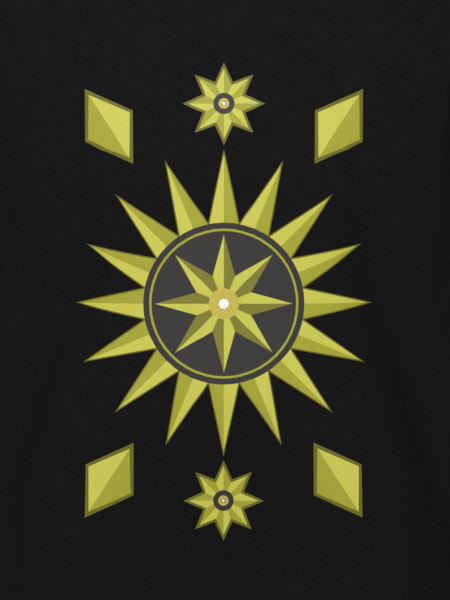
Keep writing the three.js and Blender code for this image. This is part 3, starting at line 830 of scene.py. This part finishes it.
def woven_label():
    """A satin label: fine threads across it, and no lettering."""
    material, tree, shader, flat, _ = start_material("Woven label", 0.45, 0.5)
    parts = add_node(tree, "SeparateXYZ", {0: flat})
    warp, weft = (
        calculate(tree, "SINE", calculate(tree, "MULTIPLY", part, 2 * math.pi / pitch))
        for part, pitch in ((parts[0], 0.0004), (parts[1], 0.00025))
    )
    weave = calculate(tree, "MULTIPLY_ADD", calculate(tree, "MULTIPLY", warp, weft), 0.3, 0.5)
    feed(tree, shader, {"Base Color": mix_colours(tree, weave, linear(34, 34, 37), linear(58, 58, 62))})
    add_bump(tree, shader, weave, 0.00008, 0.6)
    return material


INKS = {
    "outline": ink("Dark olive ink", linear(107, 105, 31)),
    "dark": ink("Deep olive ink", linear(128, 125, 48)),
    "middle": ink("Olive ink", linear(165, 162, 52)),
    "light": ink("Yellow-green ink", linear(201, 198, 83)),
    "ochre": ink("Ochre ink", linear(200, 180, 80)),
    "charcoal": ink("Charcoal ink", linear(55, 54, 52)),
    "white": ink("White ink", linear(244, 244, 240)),
}
THREAD = sewing_thread()
LABEL = woven_label()
print("inks:", ", ".join(INKS))

# %% [markdown]
# ## Making pieces
#
# Each finished piece is an object at the origin with its place in its mesh. It rides on the shirt's one
# body, stands for the part of the construction model that it replaces, and takes its finish from the one
# material of its mesh. The thickness of cloth and ink comes last, from a Solidify modifier, because
# one smooth layer is easier to shape than two.

# %% Turn a bmesh into a piece


def make_piece(node, stuff, bm, material):
    """Makes an object of a bmesh, in place of one part of the construction model."""
    name = f"{node}_{stuff}"
    for face in bm.faces:
        face.smooth = True
    mesh = to_mesh(bm, name)
    mesh.materials.append(material)
    piece = add_object(name, mesh)
    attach(piece, "root")
    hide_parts(node)
    return piece


def add_thickness(piece, thickness):
    """Adds a wall thickness, inwards from the outer face."""
    wall = piece.modifiers.new("thickness", "SOLIDIFY")
    wall.thickness = thickness
    wall.offset = -1
    wall.use_even_offset = False
    return wall


# %% [markdown]
# ## Seams and hems
#
# A sewn seam is a narrow groove, because the thread pulls both edges in. `inset_region` makes a strip a
# few millimetres wide along every edge of a piece, and the edge itself is then pushed in. Both pieces
# take the push from the same note on the sewn shirt, so they still meet.
#
# A hem is turned up and stitched with two needles. The stitches pull the cloth in along two lines, a
# small ridge stands up between them, and the edge puckers, because the thread is a little too tight.

# %% Shape the seams and hems on the sewn shirt
SEAM_STRIP = 0.0028
SEAM_DEPTH = 0.0011
STITCH_SINK = 0.0005
HEM_RELIEF = dict(zip(HEM_HEIGHTS, (0, 0.0006, -STITCH_SINK, 0.0004, -STITCH_SINK, 0.0007, 0.0002)))
PUCKER = 0.0007
PUCKER_LENGTH = 0.013


def shape_hems(bm):
    """Moves the rows of the hems in and out, and puckers them."""
    above_hem = bm.verts.layers.float["above_hem"]
    worn = bm.verts.layers.float_vector["worn"]
    bm.normal_update()
    moves = []
    for vert in bm.verts:
        height = vert[above_hem]
        if height < HEM_HEIGHTS[-1] + 0.001:
            nearest = min(HEM_HEIGHTS, key=lambda known: abs(known - height))
            fading = 1 - 0.7 * height / HEM_HEIGHTS[-1]
            pucker = PUCKER * fading * noise.noise(Vector(vert[worn]) / PUCKER_LENGTH)
            moves.append((vert, vert.normal * (HEM_RELIEF[nearest] + pucker)))
    for vert, move in moves:
        vert.co += move
    print("hems:", len(moves), "points shaped")


def note_seams(bm):
    """Writes on each seam point which way its seam is pulled in."""
    bm.verts.layers.float_vector.new("pull")
    pull = bm.verts.layers.float_vector["pull"]
    seam = bm.verts.layers.int["seam"]
    bm.normal_update()
    for vert in bm.verts:
        vert[pull] = -vert.normal * SEAM_DEPTH if vert[seam] else Vector()


note_seams(sewn)
shape_hems(sewn)

# %% [markdown]
# Now the shirt is taken apart into its four pieces. A vertex group makes the wall double where the hem
# is turned up.

# %% Front, back and sleeves
TURNED_UP = 0.022  # a little above the upper row of stitches


def take_piece(number):
    """A copy of one piece of the sewn shirt, with its edges pressed in along the seams."""
    bm = sewn.copy()
    kept = bm.faces.layers.int["piece"]
    bmesh.ops.delete(bm, geom=[face for face in bm.faces if face[kept] != number], context="FACES")
    bmesh.ops.inset_region(
        bm, faces=bm.faces, thickness=SEAM_STRIP,
        use_boundary=True, use_even_offset=True, use_interpolate=True,
    )
    pull = bm.verts.layers.float_vector["pull"]
    for vert in bm.verts:
        if vert.is_boundary:
            vert.co += Vector(vert[pull])
    return bm


def cloth_piece(node, number):
    bm = take_piece(number)
    above_hem = bm.verts.layers.float["above_hem"]
    double = [vert.index for vert in bm.verts if vert[above_hem] < TURNED_UP]
    area = sum(face.calc_area() for face in bm.faces)
    piece = make_piece(node, "cloth", bm, JERSEY)
    piece.vertex_groups.new(name="double").add(double, 1, "REPLACE")
    add_smoothing(piece)
    wall = add_thickness(piece, HEM_FABRIC)
    wall.vertex_group = "double"
    wall.thickness_vertex_group = FABRIC / HEM_FABRIC
    print(piece.name, "has", round(area, 4), "square metres")
    return piece


front_panel = cloth_piece("front_panel", FRONT_PIECE)
back_panel = cloth_piece("back_panel", BACK_PIECE)
sleeve_left = cloth_piece("sleeve_left", LEFT_SLEEVE)
sleeve_right = cloth_piece("sleeve_right", RIGHT_SLEEVE)

# %% [markdown]
# ## The collar
#
# The collar is a band of one-by-one ribbing, folded double. Its ribs are about a millimetre and a half
# wide and catch the light, so they are modelled: a tube follows the neck seam, and every fourth column of
# its grid stands proud. The tube's upper edge is smoothed along its length, because a stretched band
# can't follow the corner at each shoulder.

# %% A ribbed band on the neck seam
RIB_HEIGHT = 0.020
RIB_THICKNESS = 0.0022
RIB_TUCK = 0.08  # how much of its height the foot reaches into the seam
RIB_PITCH = 0.0016
RIB_RELIEF = 0.00028
RIB_INWARD = 0.0003
COLUMNS_PER_RIB = 4
RIB_SECTION = 20  # columns of points round the band's section
SECTION_POWER = 0.35  # 1 would make the band's section an oval
FRONT_LEAN, BACK_LEAN, SIDE_LEAN = 0.62, 0.22, 0.55
FINE_STEPS = 3600
TOP_SMOOTHING, FOOT_SMOOTHING = 110, 25  # fine steps to each side


def neck_place(angle):
    """The foot of the collar and the way it stands up, at an angle from the middle of the front."""
    side = FRONT if math.cos(angle) > 0 else BACK
    forward = abs(math.cos(angle))
    lean = FRONT_LEAN * forward if side == FRONT else -BACK_LEAN * forward
    foot = torso_point(side, *neck_seam(side, math.asin(math.sin(angle))))
    return foot, Vector((-SIDE_LEAN * math.sin(angle), lean, 1)).normalized()


def smoothed(points, reach):
    """A closed row of points, each moved to the mean of its neighbours within reach."""
    shifted = [np.roll(points, step, axis=0) for step in range(-reach, reach + 1)]
    return sum(shifted) / len(shifted)


def lengths_along(points):
    """How far along a row of points each of them is."""
    return np.concatenate([[0], np.linalg.norm(np.diff(points, axis=0), axis=1).cumsum()])


def collar_rows():
    """Evenly spaced feet and tops of the collar, as two arrays of points."""
    fine = [neck_place(2 * math.pi * k / FINE_STEPS) for k in range(FINE_STEPS)]
    feet = np.array([foot for foot, _ in fine])
    tops = smoothed(feet + RIB_HEIGHT * np.array([up for _, up in fine]), TOP_SMOOTHING)
    feet = smoothed(feet, FOOT_SMOOTHING)
    lengths = lengths_along(np.vstack([feet, feet[:1]]))
    ribs = round(lengths[-1] / RIB_PITCH)
    places = np.linspace(0, lengths[-1], ribs * COLUMNS_PER_RIB + 1)
    even = lambda row: np.stack([np.interp(places, lengths, [*part, part[0]]) for part in row.T], 1)
    print("collar:", ribs, "ribs on", round(lengths[-1], 3), "m")
    return even(feet), even(tops), places


def make_collar():
    feet, tops, places = collar_rows()
    columns = len(places) - 1
    bm = bmesh.new()
    bm.loops.layers.uv.new("flat")
    flat = {}
    for vert, (around_section, along) in add_grid(bm, RIB_SECTION, columns).items():
        column = round(along * columns)
        section = around_section * 2 * math.pi
        flat[vert] = (places[column], 2 * around_section * RIB_HEIGHT)
        ahead, behind = feet[(column + 1) % columns], feet[(column - 1) % columns]
        foot = feet[column % columns]
        up = Vector(tops[column % columns] - foot)
        out = Vector(ahead - behind).cross(up).normalized()
        high = 0.5 - 0.5 * fuller(math.cos(section), SECTION_POWER)
        high = high * (1 + RIB_TUCK) - RIB_TUCK
        rib = RIB_RELIEF * math.cos(2 * math.pi * column / COLUMNS_PER_RIB)
        thick = fuller(math.sin(section), SECTION_POWER) * (RIB_THICKNESS / 2 + rib)
        vert.co = Vector(foot) + up * high + out * (thick - RIB_INWARD)
    write_flat(bm, flat)
    weld(bm, 1e-6)
    return make_piece("neck_rib", "knit", bm, RIBBING)


neck_rib = make_collar()

# %% [markdown]
# ## Tape and label
#
# Inside the back of the neck, a strip of tape covers the seam, and a bare label hangs below it. Both are
# small grids that are placed on the worn shape and then followed to the draped cloth, on its inner side.

# %% Tape and label inside the neck
TAPE_WIDTH = 0.013
TAPE_THICKNESS = 0.0007
TAPE_END = math.radians(82)  # from the middle of the back
LABEL_WIDTH = 0.046
LABEL_TOP_Z = -NECK_DROPS[BACK] - 0.006
LABEL_LENGTH = 0.034
LABEL_THICKNESS = 0.0004
LABEL_HANGS_OFF = 0.0016  # its lower edge, from the cloth
INSIDE_FLAT = (0.2, 0.02)  # the size at which the weave is laid on both


def on_inside(rows, columns, worn_at, depth):
    """A grid that lies on the inner side of the back, as a bmesh with a flat UV map."""
    bm = bmesh.new()
    bm.loops.layers.uv.new("flat")
    grid = add_grid(bm, rows, columns)
    wide, high = INSIDE_FLAT
    write_flat(bm, {vert: (across * wide, up * high) for vert, (up, across) in grid.items()})
    for vert, (up, across) in grid.items():
        vert.co, _ = draped.above(worn_at(across, up), -depth(up))
    bmesh.ops.recalc_face_normals(bm, faces=bm.faces)
    return bm


def below_neck(side, angle, below, clear):
    """A worn point below the neck seam, kept clear of the shoulder seam."""
    x, z = neck_seam(side, angle, below)
    return torso_point(side, x, min(z, shoulder_line(abs(x)) - clear))


def tape_place(across, up):
    return below_neck(BACK, TAPE_END * (2 * across - 1), 0.001 + TAPE_WIDTH * (1 - up), 0.0015)


def label_place(across, up):
    return torso_point(BACK, LABEL_WIDTH * (across - 0.5), LABEL_TOP_Z - LABEL_LENGTH * (1 - up))


tape_depth = FABRIC + 0.0003
tape_mesh = on_inside(4, 72, tape_place, lambda up: tape_depth)
neck_tape = make_piece("neck_tape", "cloth", tape_mesh, RIBBING)
label_depth = tape_depth + TAPE_THICKNESS + 0.0005
label_mesh = on_inside(8, 12, label_place, lambda up: label_depth + LABEL_HANGS_OFF * (1 - up) ** 1.5)
neck_label = make_piece("neck_label", "satin", label_mesh, LABEL)
for piece, thickness in ((neck_tape, TAPE_THICKNESS), (neck_label, LABEL_THICKNESS)):
    add_smoothing(piece)
    add_thickness(piece, thickness)
print("tape:", TAPE_WIDTH, "m wide; label:", LABEL_WIDTH, "by", LABEL_LENGTH, "m")

# %% [markdown]
# ## Stitches
#
# A row of stitches is not a line: each is a short piece of thread that dips into the cloth at both ends.
# One stitch is a small stretched sphere with two dozen faces, and a function lays it along a path as
# often as it fits. The path is drawn on the worn shape and followed to the draped cloth.

# %% Lay stitches along a path
STITCH_LENGTH = 0.0029
STITCH_PITCH = 0.0034
THREAD_WIDTH = 0.00062
THREAD_HEIGHT = 0.00050
THREAD_RAISED = 0.3  # of its height
NECK_STITCH_BELOW = 0.0045
NECK_STITCH_END = math.radians(88)  # from the middle
STITCH_FACES = 24


def lay_stitches(node, path):
    """A piece made of separate stitches along a path of worn points."""
    bm = bmesh.new()
    bm.loops.layers.uv.new("flat")
    found = [draped.above(point, 0) for point in path]
    points = np.array([point for point, _ in found])
    outs = np.array([out for _, out in found])
    lengths = lengths_along(points)
    at = lambda values, place: Vector([np.interp(place, lengths, values[:, i]) for i in range(3)])
    for place in np.arange(STITCH_PITCH / 2, lengths[-1], STITCH_PITCH):
        start = at(points, place - STITCH_LENGTH / 2)
        end = at(points, place + STITCH_LENGTH / 2)
        along = (end - start).normalized()
        out = at(outs, place)
        out = (out - along * out.dot(along)).normalized()
        middle = (start + end) / 2 + out * THREAD_HEIGHT * THREAD_RAISED
        turned = Matrix((out.cross(along), out, along)).transposed().to_4x4()
        sized = Matrix.Diagonal((THREAD_WIDTH / 2, THREAD_HEIGHT / 2, STITCH_LENGTH / 2, 1))
        where = Matrix.Translation(middle) @ turned @ sized
        bmesh.ops.create_uvsphere(bm, u_segments=6, v_segments=4, radius=1, matrix=where)
    print(node, "has", len(bm.faces) // STITCH_FACES, "stitches")
    return make_piece(node, "thread", bm, THREAD)


def even_steps(count):
    """Even steps from -1 to 1, with so many on each side of 0."""
    return [k / count - 1 for k in range(2 * count + 1)]


def hem_path(height):
    """Round the hem at a height above its edge: across the front and back round the back."""
    z = HEM_Z + height
    wide = [cloth_side(z) * math.sin(math.pi * (step / 2)) for step in even_steps(60)]
    front = [torso_point(FRONT, x, z) for x in wide]
    return front + [torso_point(BACK, x, z) for x in reversed(wide[1:-1])] + front[:1]


def sleeve_path(hand, height):
    """Round a sleeve's end at a height above its edge."""
    along = 1 - height / SLEEVE_EASE
    return [sleeve_point(math.pi * step, along) * Vector((hand, 1, 1)) for step in even_steps(60)]


def neck_path(side):
    """Below the collar, from one shoulder seam to the other."""
    return [below_neck(side, NECK_STITCH_END * step, NECK_STITCH_BELOW, 0.001) for step in even_steps(80)]


for name, height in (("lower", LOWER_NEEDLE), ("upper", UPPER_NEEDLE)):
    lay_stitches(f"hem_stitch_{name}", hem_path(height))
for name, side in (("front", FRONT), ("back", BACK)):
    lay_stitches(f"neck_stitch_{name}", neck_path(side))
for side_name, hand in (("left", 1), ("right", -1)):
    for name, height in (("inner", UPPER_NEEDLE), ("outer", LOWER_NEEDLE)):
        lay_stitches(f"sleeve_{side_name}_stitch_{name}", sleeve_path(hand, height))

# %% [markdown]
# ## The print
#
# Screen-printing ink is a film a tenth of a millimetre thick that follows every fold of the cloth. A flat
# picture would cut through the folds, so each patch of ink is cut out of the cloth itself. The front
# piece is subdivided, and its points go back to where they were worn. There, seen from the front,
# straight cuts with `bisect_plane` leave the outline of one patch. Then the points return to the draped
# shape and are lifted by the film's thickness.
#
# The picture is a compass star with a small star above and below it and a diamond in each corner. Every
# shape is made of convex patches, such as half a ray, because straight cuts leave a convex outline.

# %% Driving dimensions of the print
PRINT_WIDTH = 0.260
PRINT_TOP_Z, PRINT_BOTTOM_Z = -0.166, -0.572
PRINT_MIDDLE = Vector((0, (PRINT_TOP_Z + PRINT_BOTTOM_Z) / 2))
MARGIN = 0.02  # of cloth round a patch, before it is cut
INK_FILM = 0.0001
INK_STEP = 0.00009  # each later colour lies this much higher
OUTLINE = 0.003
TIP_GROWTH = 1.6 * OUTLINE
STAR_GAP = 0.003
LARGE_REACH = PRINT_WIDTH / 2 - TIP_GROWTH
SMALL_REACH = (PRINT_TOP_Z - PRINT_BOTTOM_Z - PRINT_WIDTH - 2 * STAR_GAP) / 4 - TIP_GROWTH
SMALL_STEP = (PRINT_TOP_Z - PRINT_BOTTOM_Z) / 2 - SMALL_REACH - TIP_GROWTH
LARGE_STAR = {
    "points": 16, "reach": LARGE_REACH, "valley": 0.066, "hub": 0.040, "ground": 0.068, "button": 0.013,
}
SMALL_STAR = {
    "points": 8, "reach": SMALL_REACH, "valley": 0.017, "hub": 0.007, "ground": 0.009, "button": 0.0045,
}
INNER_STAR = {"points": 8, "reach": 0.058, "valley": 0.025, "hub": 0}
RING_RADIUS, RING_WIDTH = 0.063, 0.002
BUTTON_GAP = 0.0006
DIAMOND_HALF_LENGTH, DIAMOND_HALF_WIDTH = 0.038, 0.024
DIAMOND_RADIUS, DIAMOND_ANGLE = 0.178, math.radians(33)
CIRCLE_SIDES = 48


def around(centre, radius, angle):
    """A point of the picture at an angle from the upright, clockwise as seen from the front."""
    return centre + radius * Vector((math.sin(angle), math.cos(angle)))


# %% [markdown]
# The cutter works on a copy of the cloth near each patch, and cuts it once for each side of the patch.
# Convex outlines make this simple: what lies beyond any one side is outside.

# %% Cut a patch out of the cloth


def keep_near(bm, left, right, low, high):
    """Removes the faces that lie outside a box of the picture, or in its margin."""
    centres = {face: face.calc_center_median() for face in bm.faces}
    far = [
        face for face, centre in centres.items()
        if not (left - MARGIN < centre.x < right + MARGIN and low - MARGIN < centre.z < high + MARGIN)
    ]
    bmesh.ops.delete(bm, geom=far, context="FACES")


def printing_ground():
    """The part of the front that is printed, in the shape it was worn in, with notes of the draped one."""
    bm = bmesh.new()
    bm.from_mesh(subdivided(take_piece(FRONT_PIECE)))
    notes = bm.verts.layers.float_vector
    for name in ("now", "out"):
        notes.new(name)
    worn, now, out = notes["worn"], notes["now"], notes["out"]
    bm.normal_update()
    for vert in bm.verts:
        vert[now] = vert.co
        vert[out] = vert.normal
        vert.co = vert[worn]
    keep_near(bm, -PRINT_WIDTH / 2, PRINT_WIDTH / 2, PRINT_BOTTOM_Z, PRINT_TOP_Z)
    bmesh.ops.triangulate(bm, faces=bm.faces, quad_method="FIXED")
    return bm


GROUND = printing_ground()
print("printing ground:", len(GROUND.faces), "faces")


def sides(outline):
    """For each side of a convex outline, a point on it and the direction away from the middle."""
    middle = sum(outline, Vector((0, 0))) / len(outline)
    for start, end in zip(outline, outline[1:] + outline[:1]):
        side = end - start
        beyond = Vector((side.y, -side.x))
        yield start, -beyond if beyond.dot(middle - start) > 0 else beyond


def cut_along(bm, outline, clear):
    """Cuts the ground along each side of an outline. clear removes what lies beyond it."""
    for start, beyond in sides(outline):
        bmesh.ops.bisect_plane(
            bm, geom=bm.verts[:] + bm.edges[:] + bm.faces[:], dist=1e-7,
            plane_co=(start.x, 0, start.y), plane_no=(beyond.x, 0, beyond.y), clear_outer=clear,
        )


def is_inside(centre, outline):
    """Tells whether a point of the ground is inside a convex outline."""
    place = Vector((centre.x, centre.z))
    return all(beyond.dot(place - start) <= 0 for start, beyond in sides(outline))


def patch(outline, hole=None):
    """The ground inside a convex outline, and outside a convex hole."""
    bm = GROUND.copy()
    across, up = zip(*outline)
    keep_near(bm, min(across), max(across), min(up), max(up))
    cut_along(bm, outline, True)
    if hole:
        cut_along(bm, hole, False)
        inside = [face for face in bm.faces if is_inside(face.calc_center_median(), hole)]
        bmesh.ops.delete(bm, geom=inside, context="FACES")
    return bm


# %% [markdown]
# A colour of one motif is one piece. It joins its patches and follows the cloth at its own height, so
# that no two films lie in each other.

# %% Print a colour


def print_colour(motif, colour, layer, patches, tone=None):
    """Joins patches into one film of ink over the cloth."""
    bm = bmesh.new()
    for cut in patches:
        mesh = to_mesh(cut, "patch")
        bm.from_mesh(mesh)
        bpy.data.meshes.remove(mesh)
    now = bm.verts.layers.float_vector["now"]
    out = bm.verts.layers.float_vector["out"]
    for vert in bm.verts:
        vert.co = Vector(vert[now]) + Vector(vert[out]).normalized() * (INK_FILM + layer * INK_STEP)
    bmesh.ops.remove_doubles(bm, verts=bm.verts, dist=2e-6)
    for edge in bm.edges:
        edge.smooth = not edge.is_boundary
    tone = tone or colour
    piece = make_piece(f"print_{motif}_{colour}", "ink", bm, INKS[tone])
    add_thickness(piece, INK_FILM * 0.8)


def star_patches(centre, star, part):
    """The patches of one part of a star: its rim, or the light or dark half of every ray."""
    step = 2 * math.pi / star["points"]
    patches = []
    for k in range(star["points"]):
        angle = k * step
        if part == "rim":
            left, right = (
                around(centre, star["valley"] + OUTLINE, angle + turn) for turn in (-step / 2, step / 2)
            )
            outline = [centre, left, around(centre, star["reach"] + TIP_GROWTH, angle), right]
        else:
            turn = -step / 2 if part == "light" else step / 2
            outline = [around(centre, star["valley"], angle + turn), around(centre, star["reach"], angle)]
            if star["hub"]:
                outline = [around(centre, star["hub"], angle + turn)] + outline
            outline.append(around(centre, star["hub"], angle))
        patches.append(patch(outline))
    return patches


def circle(centre, radius):
    return [around(centre, radius, 2 * math.pi * k / CIRCLE_SIDES) for k in range(CIRCLE_SIDES)]


def print_star(name, centre, star, button_layer):
    """A star with its outline, a round ground in its middle and a button on that."""
    button = star["button"]
    hole = circle(centre, button / 3 + BUTTON_GAP)
    print_colour(name, "outline", 0, star_patches(centre, star, "rim"))
    print_colour(name, "middle", 1, star_patches(centre, star, "dark"))
    print_colour(name, "light", 1, star_patches(centre, star, "light"))
    print_colour(name, "charcoal", 2, [patch(circle(centre, star["ground"]))])
    print_colour(name, "ochre", button_layer, [patch(circle(centre, button), hole)])
    print_colour(name, "white", button_layer, [patch(circle(centre, button / 3))])


print_star("centre", PRINT_MIDDLE, LARGE_STAR, 4)
print_star("top", PRINT_MIDDLE + Vector((0, SMALL_STEP)), SMALL_STAR, 3)
print_star("bottom", PRINT_MIDDLE - Vector((0, SMALL_STEP)), SMALL_STAR, 3)
ring = patch(circle(PRINT_MIDDLE, RING_RADIUS), circle(PRINT_MIDDLE, RING_RADIUS - RING_WIDTH))
print_colour("centre", "ring", 3, [ring], tone="middle")
for part in ("dark", "light"):
    print_colour("centre_inner", part, 3, star_patches(PRINT_MIDDLE, INNER_STAR, part))


def diamond(angle, inset, half=None):
    """A diamond that points away from the picture's middle, or its upper or lower half."""
    along = Vector((math.sin(angle), math.cos(angle)))
    across = Vector((-along.y, along.x)) * (-1 if along.x < 0 else 1)
    middle = PRINT_MIDDLE + along * DIAMOND_RADIUS
    long = along * (DIAMOND_HALF_LENGTH - 2 * inset)
    short = across * (DIAMOND_HALF_WIDTH - inset)
    if half:
        return [middle + long, middle + short * half, middle - long]
    return [middle + long, middle + short, middle - long, middle - short]


for name, angle in (
    ("top_left", DIAMOND_ANGLE), ("top_right", -DIAMOND_ANGLE),
    ("bottom_left", math.pi - DIAMOND_ANGLE), ("bottom_right", math.pi + DIAMOND_ANGLE),
):
    print_colour(name, "outline", 0, [patch(diamond(angle, 0))])
    print_colour(name, "middle", 1, [patch(diamond(angle, OUTLINE, -1))])
    print_colour(name, "light", 1, [patch(diamond(angle, OUTLINE, 1))])
GROUND.free()

# %% [markdown]
# ## What is cloth
# Knitted cotton hardly stretches or shrinks when it hangs.

# %% [markdown]
# ## Floor, light and camera
#
# The shirt hangs by its shoulders over a plain pale floor. A soft light stands in front, a little to the
# left and above the shoulders, a weaker one lights the back, and an even sky fills the shadows, so that
# black cloth keeps some shape. The camera looks straight at the chest, and takes in the same stretch of
# cloth as the photograph: 378 by 505 millimetres.

# %% Floor and light
VIEW_WIDTH = 0.378
VIEW_MIDDLE = Vector((0.0013, -0.110, CHEST_MIDDLE_Z))
CAMERA_DISTANCE = 2.4
FLOOR_RADIUS, FLOOR_BELOW_HEM = 6, 0.14
SKY_COLOUR, SKY_STRENGTH = (0.92, 0.94, 1.0, 1), 0.27


def make_floor():
    bm = bmesh.new()
    bmesh.ops.create_circle(bm, cap_ends=True, segments=96, radius=FLOOR_RADIUS)
    bmesh.ops.translate(bm, verts=bm.verts, vec=(0, 0, HEM_Z - FLOOR_BELOW_HEM))
    material, tree, shader, _, _ = start_material("Pale floor", 0.8, 0.1)
    feed(tree, shader, {"Base Color": linear(214, 214, 212)})
    mesh = to_mesh(bm, "floor")
    mesh.materials.append(material)
    add_object("floor", mesh)


def soft_light(name, place, size, watts):
    """A square light that points at the chest."""
    lamp = bpy.data.lights.new(name, "AREA")
    lamp.size = size
    lamp.energy = watts
    light = add_object(name, lamp)
    light.location = place
    light.rotation_euler = (VIEW_MIDDLE - Vector(place)).to_track_quat("-Z", "Y").to_euler()


make_floor()
soft_light("key_light", (-0.3, -3.4, 1.6), 1.2, 118)
soft_light("back_light", (0.9, 2.2, 1.8), 1.4, 62)
world = bpy.data.worlds.new("studio")
world.use_nodes = True
feed(world.node_tree, world.node_tree.nodes["Background"], {0: SKY_COLOUR, 1: SKY_STRENGTH})
bpy.context.scene.world = world
bpy.context.scene.view_settings.view_transform = "Standard"

# %% Camera
lens = bpy.data.cameras.new("camera")
lens.sensor_fit = "HORIZONTAL"
lens.sensor_width = 36
lens.lens = lens.sensor_width * CAMERA_DISTANCE / VIEW_WIDTH
camera = add_object("camera", lens)
camera.location = VIEW_MIDDLE + Vector((0, -CAMERA_DISTANCE, 0))
camera.rotation_euler = (math.pi / 2, 0, 0)
bpy.context.scene.camera = camera
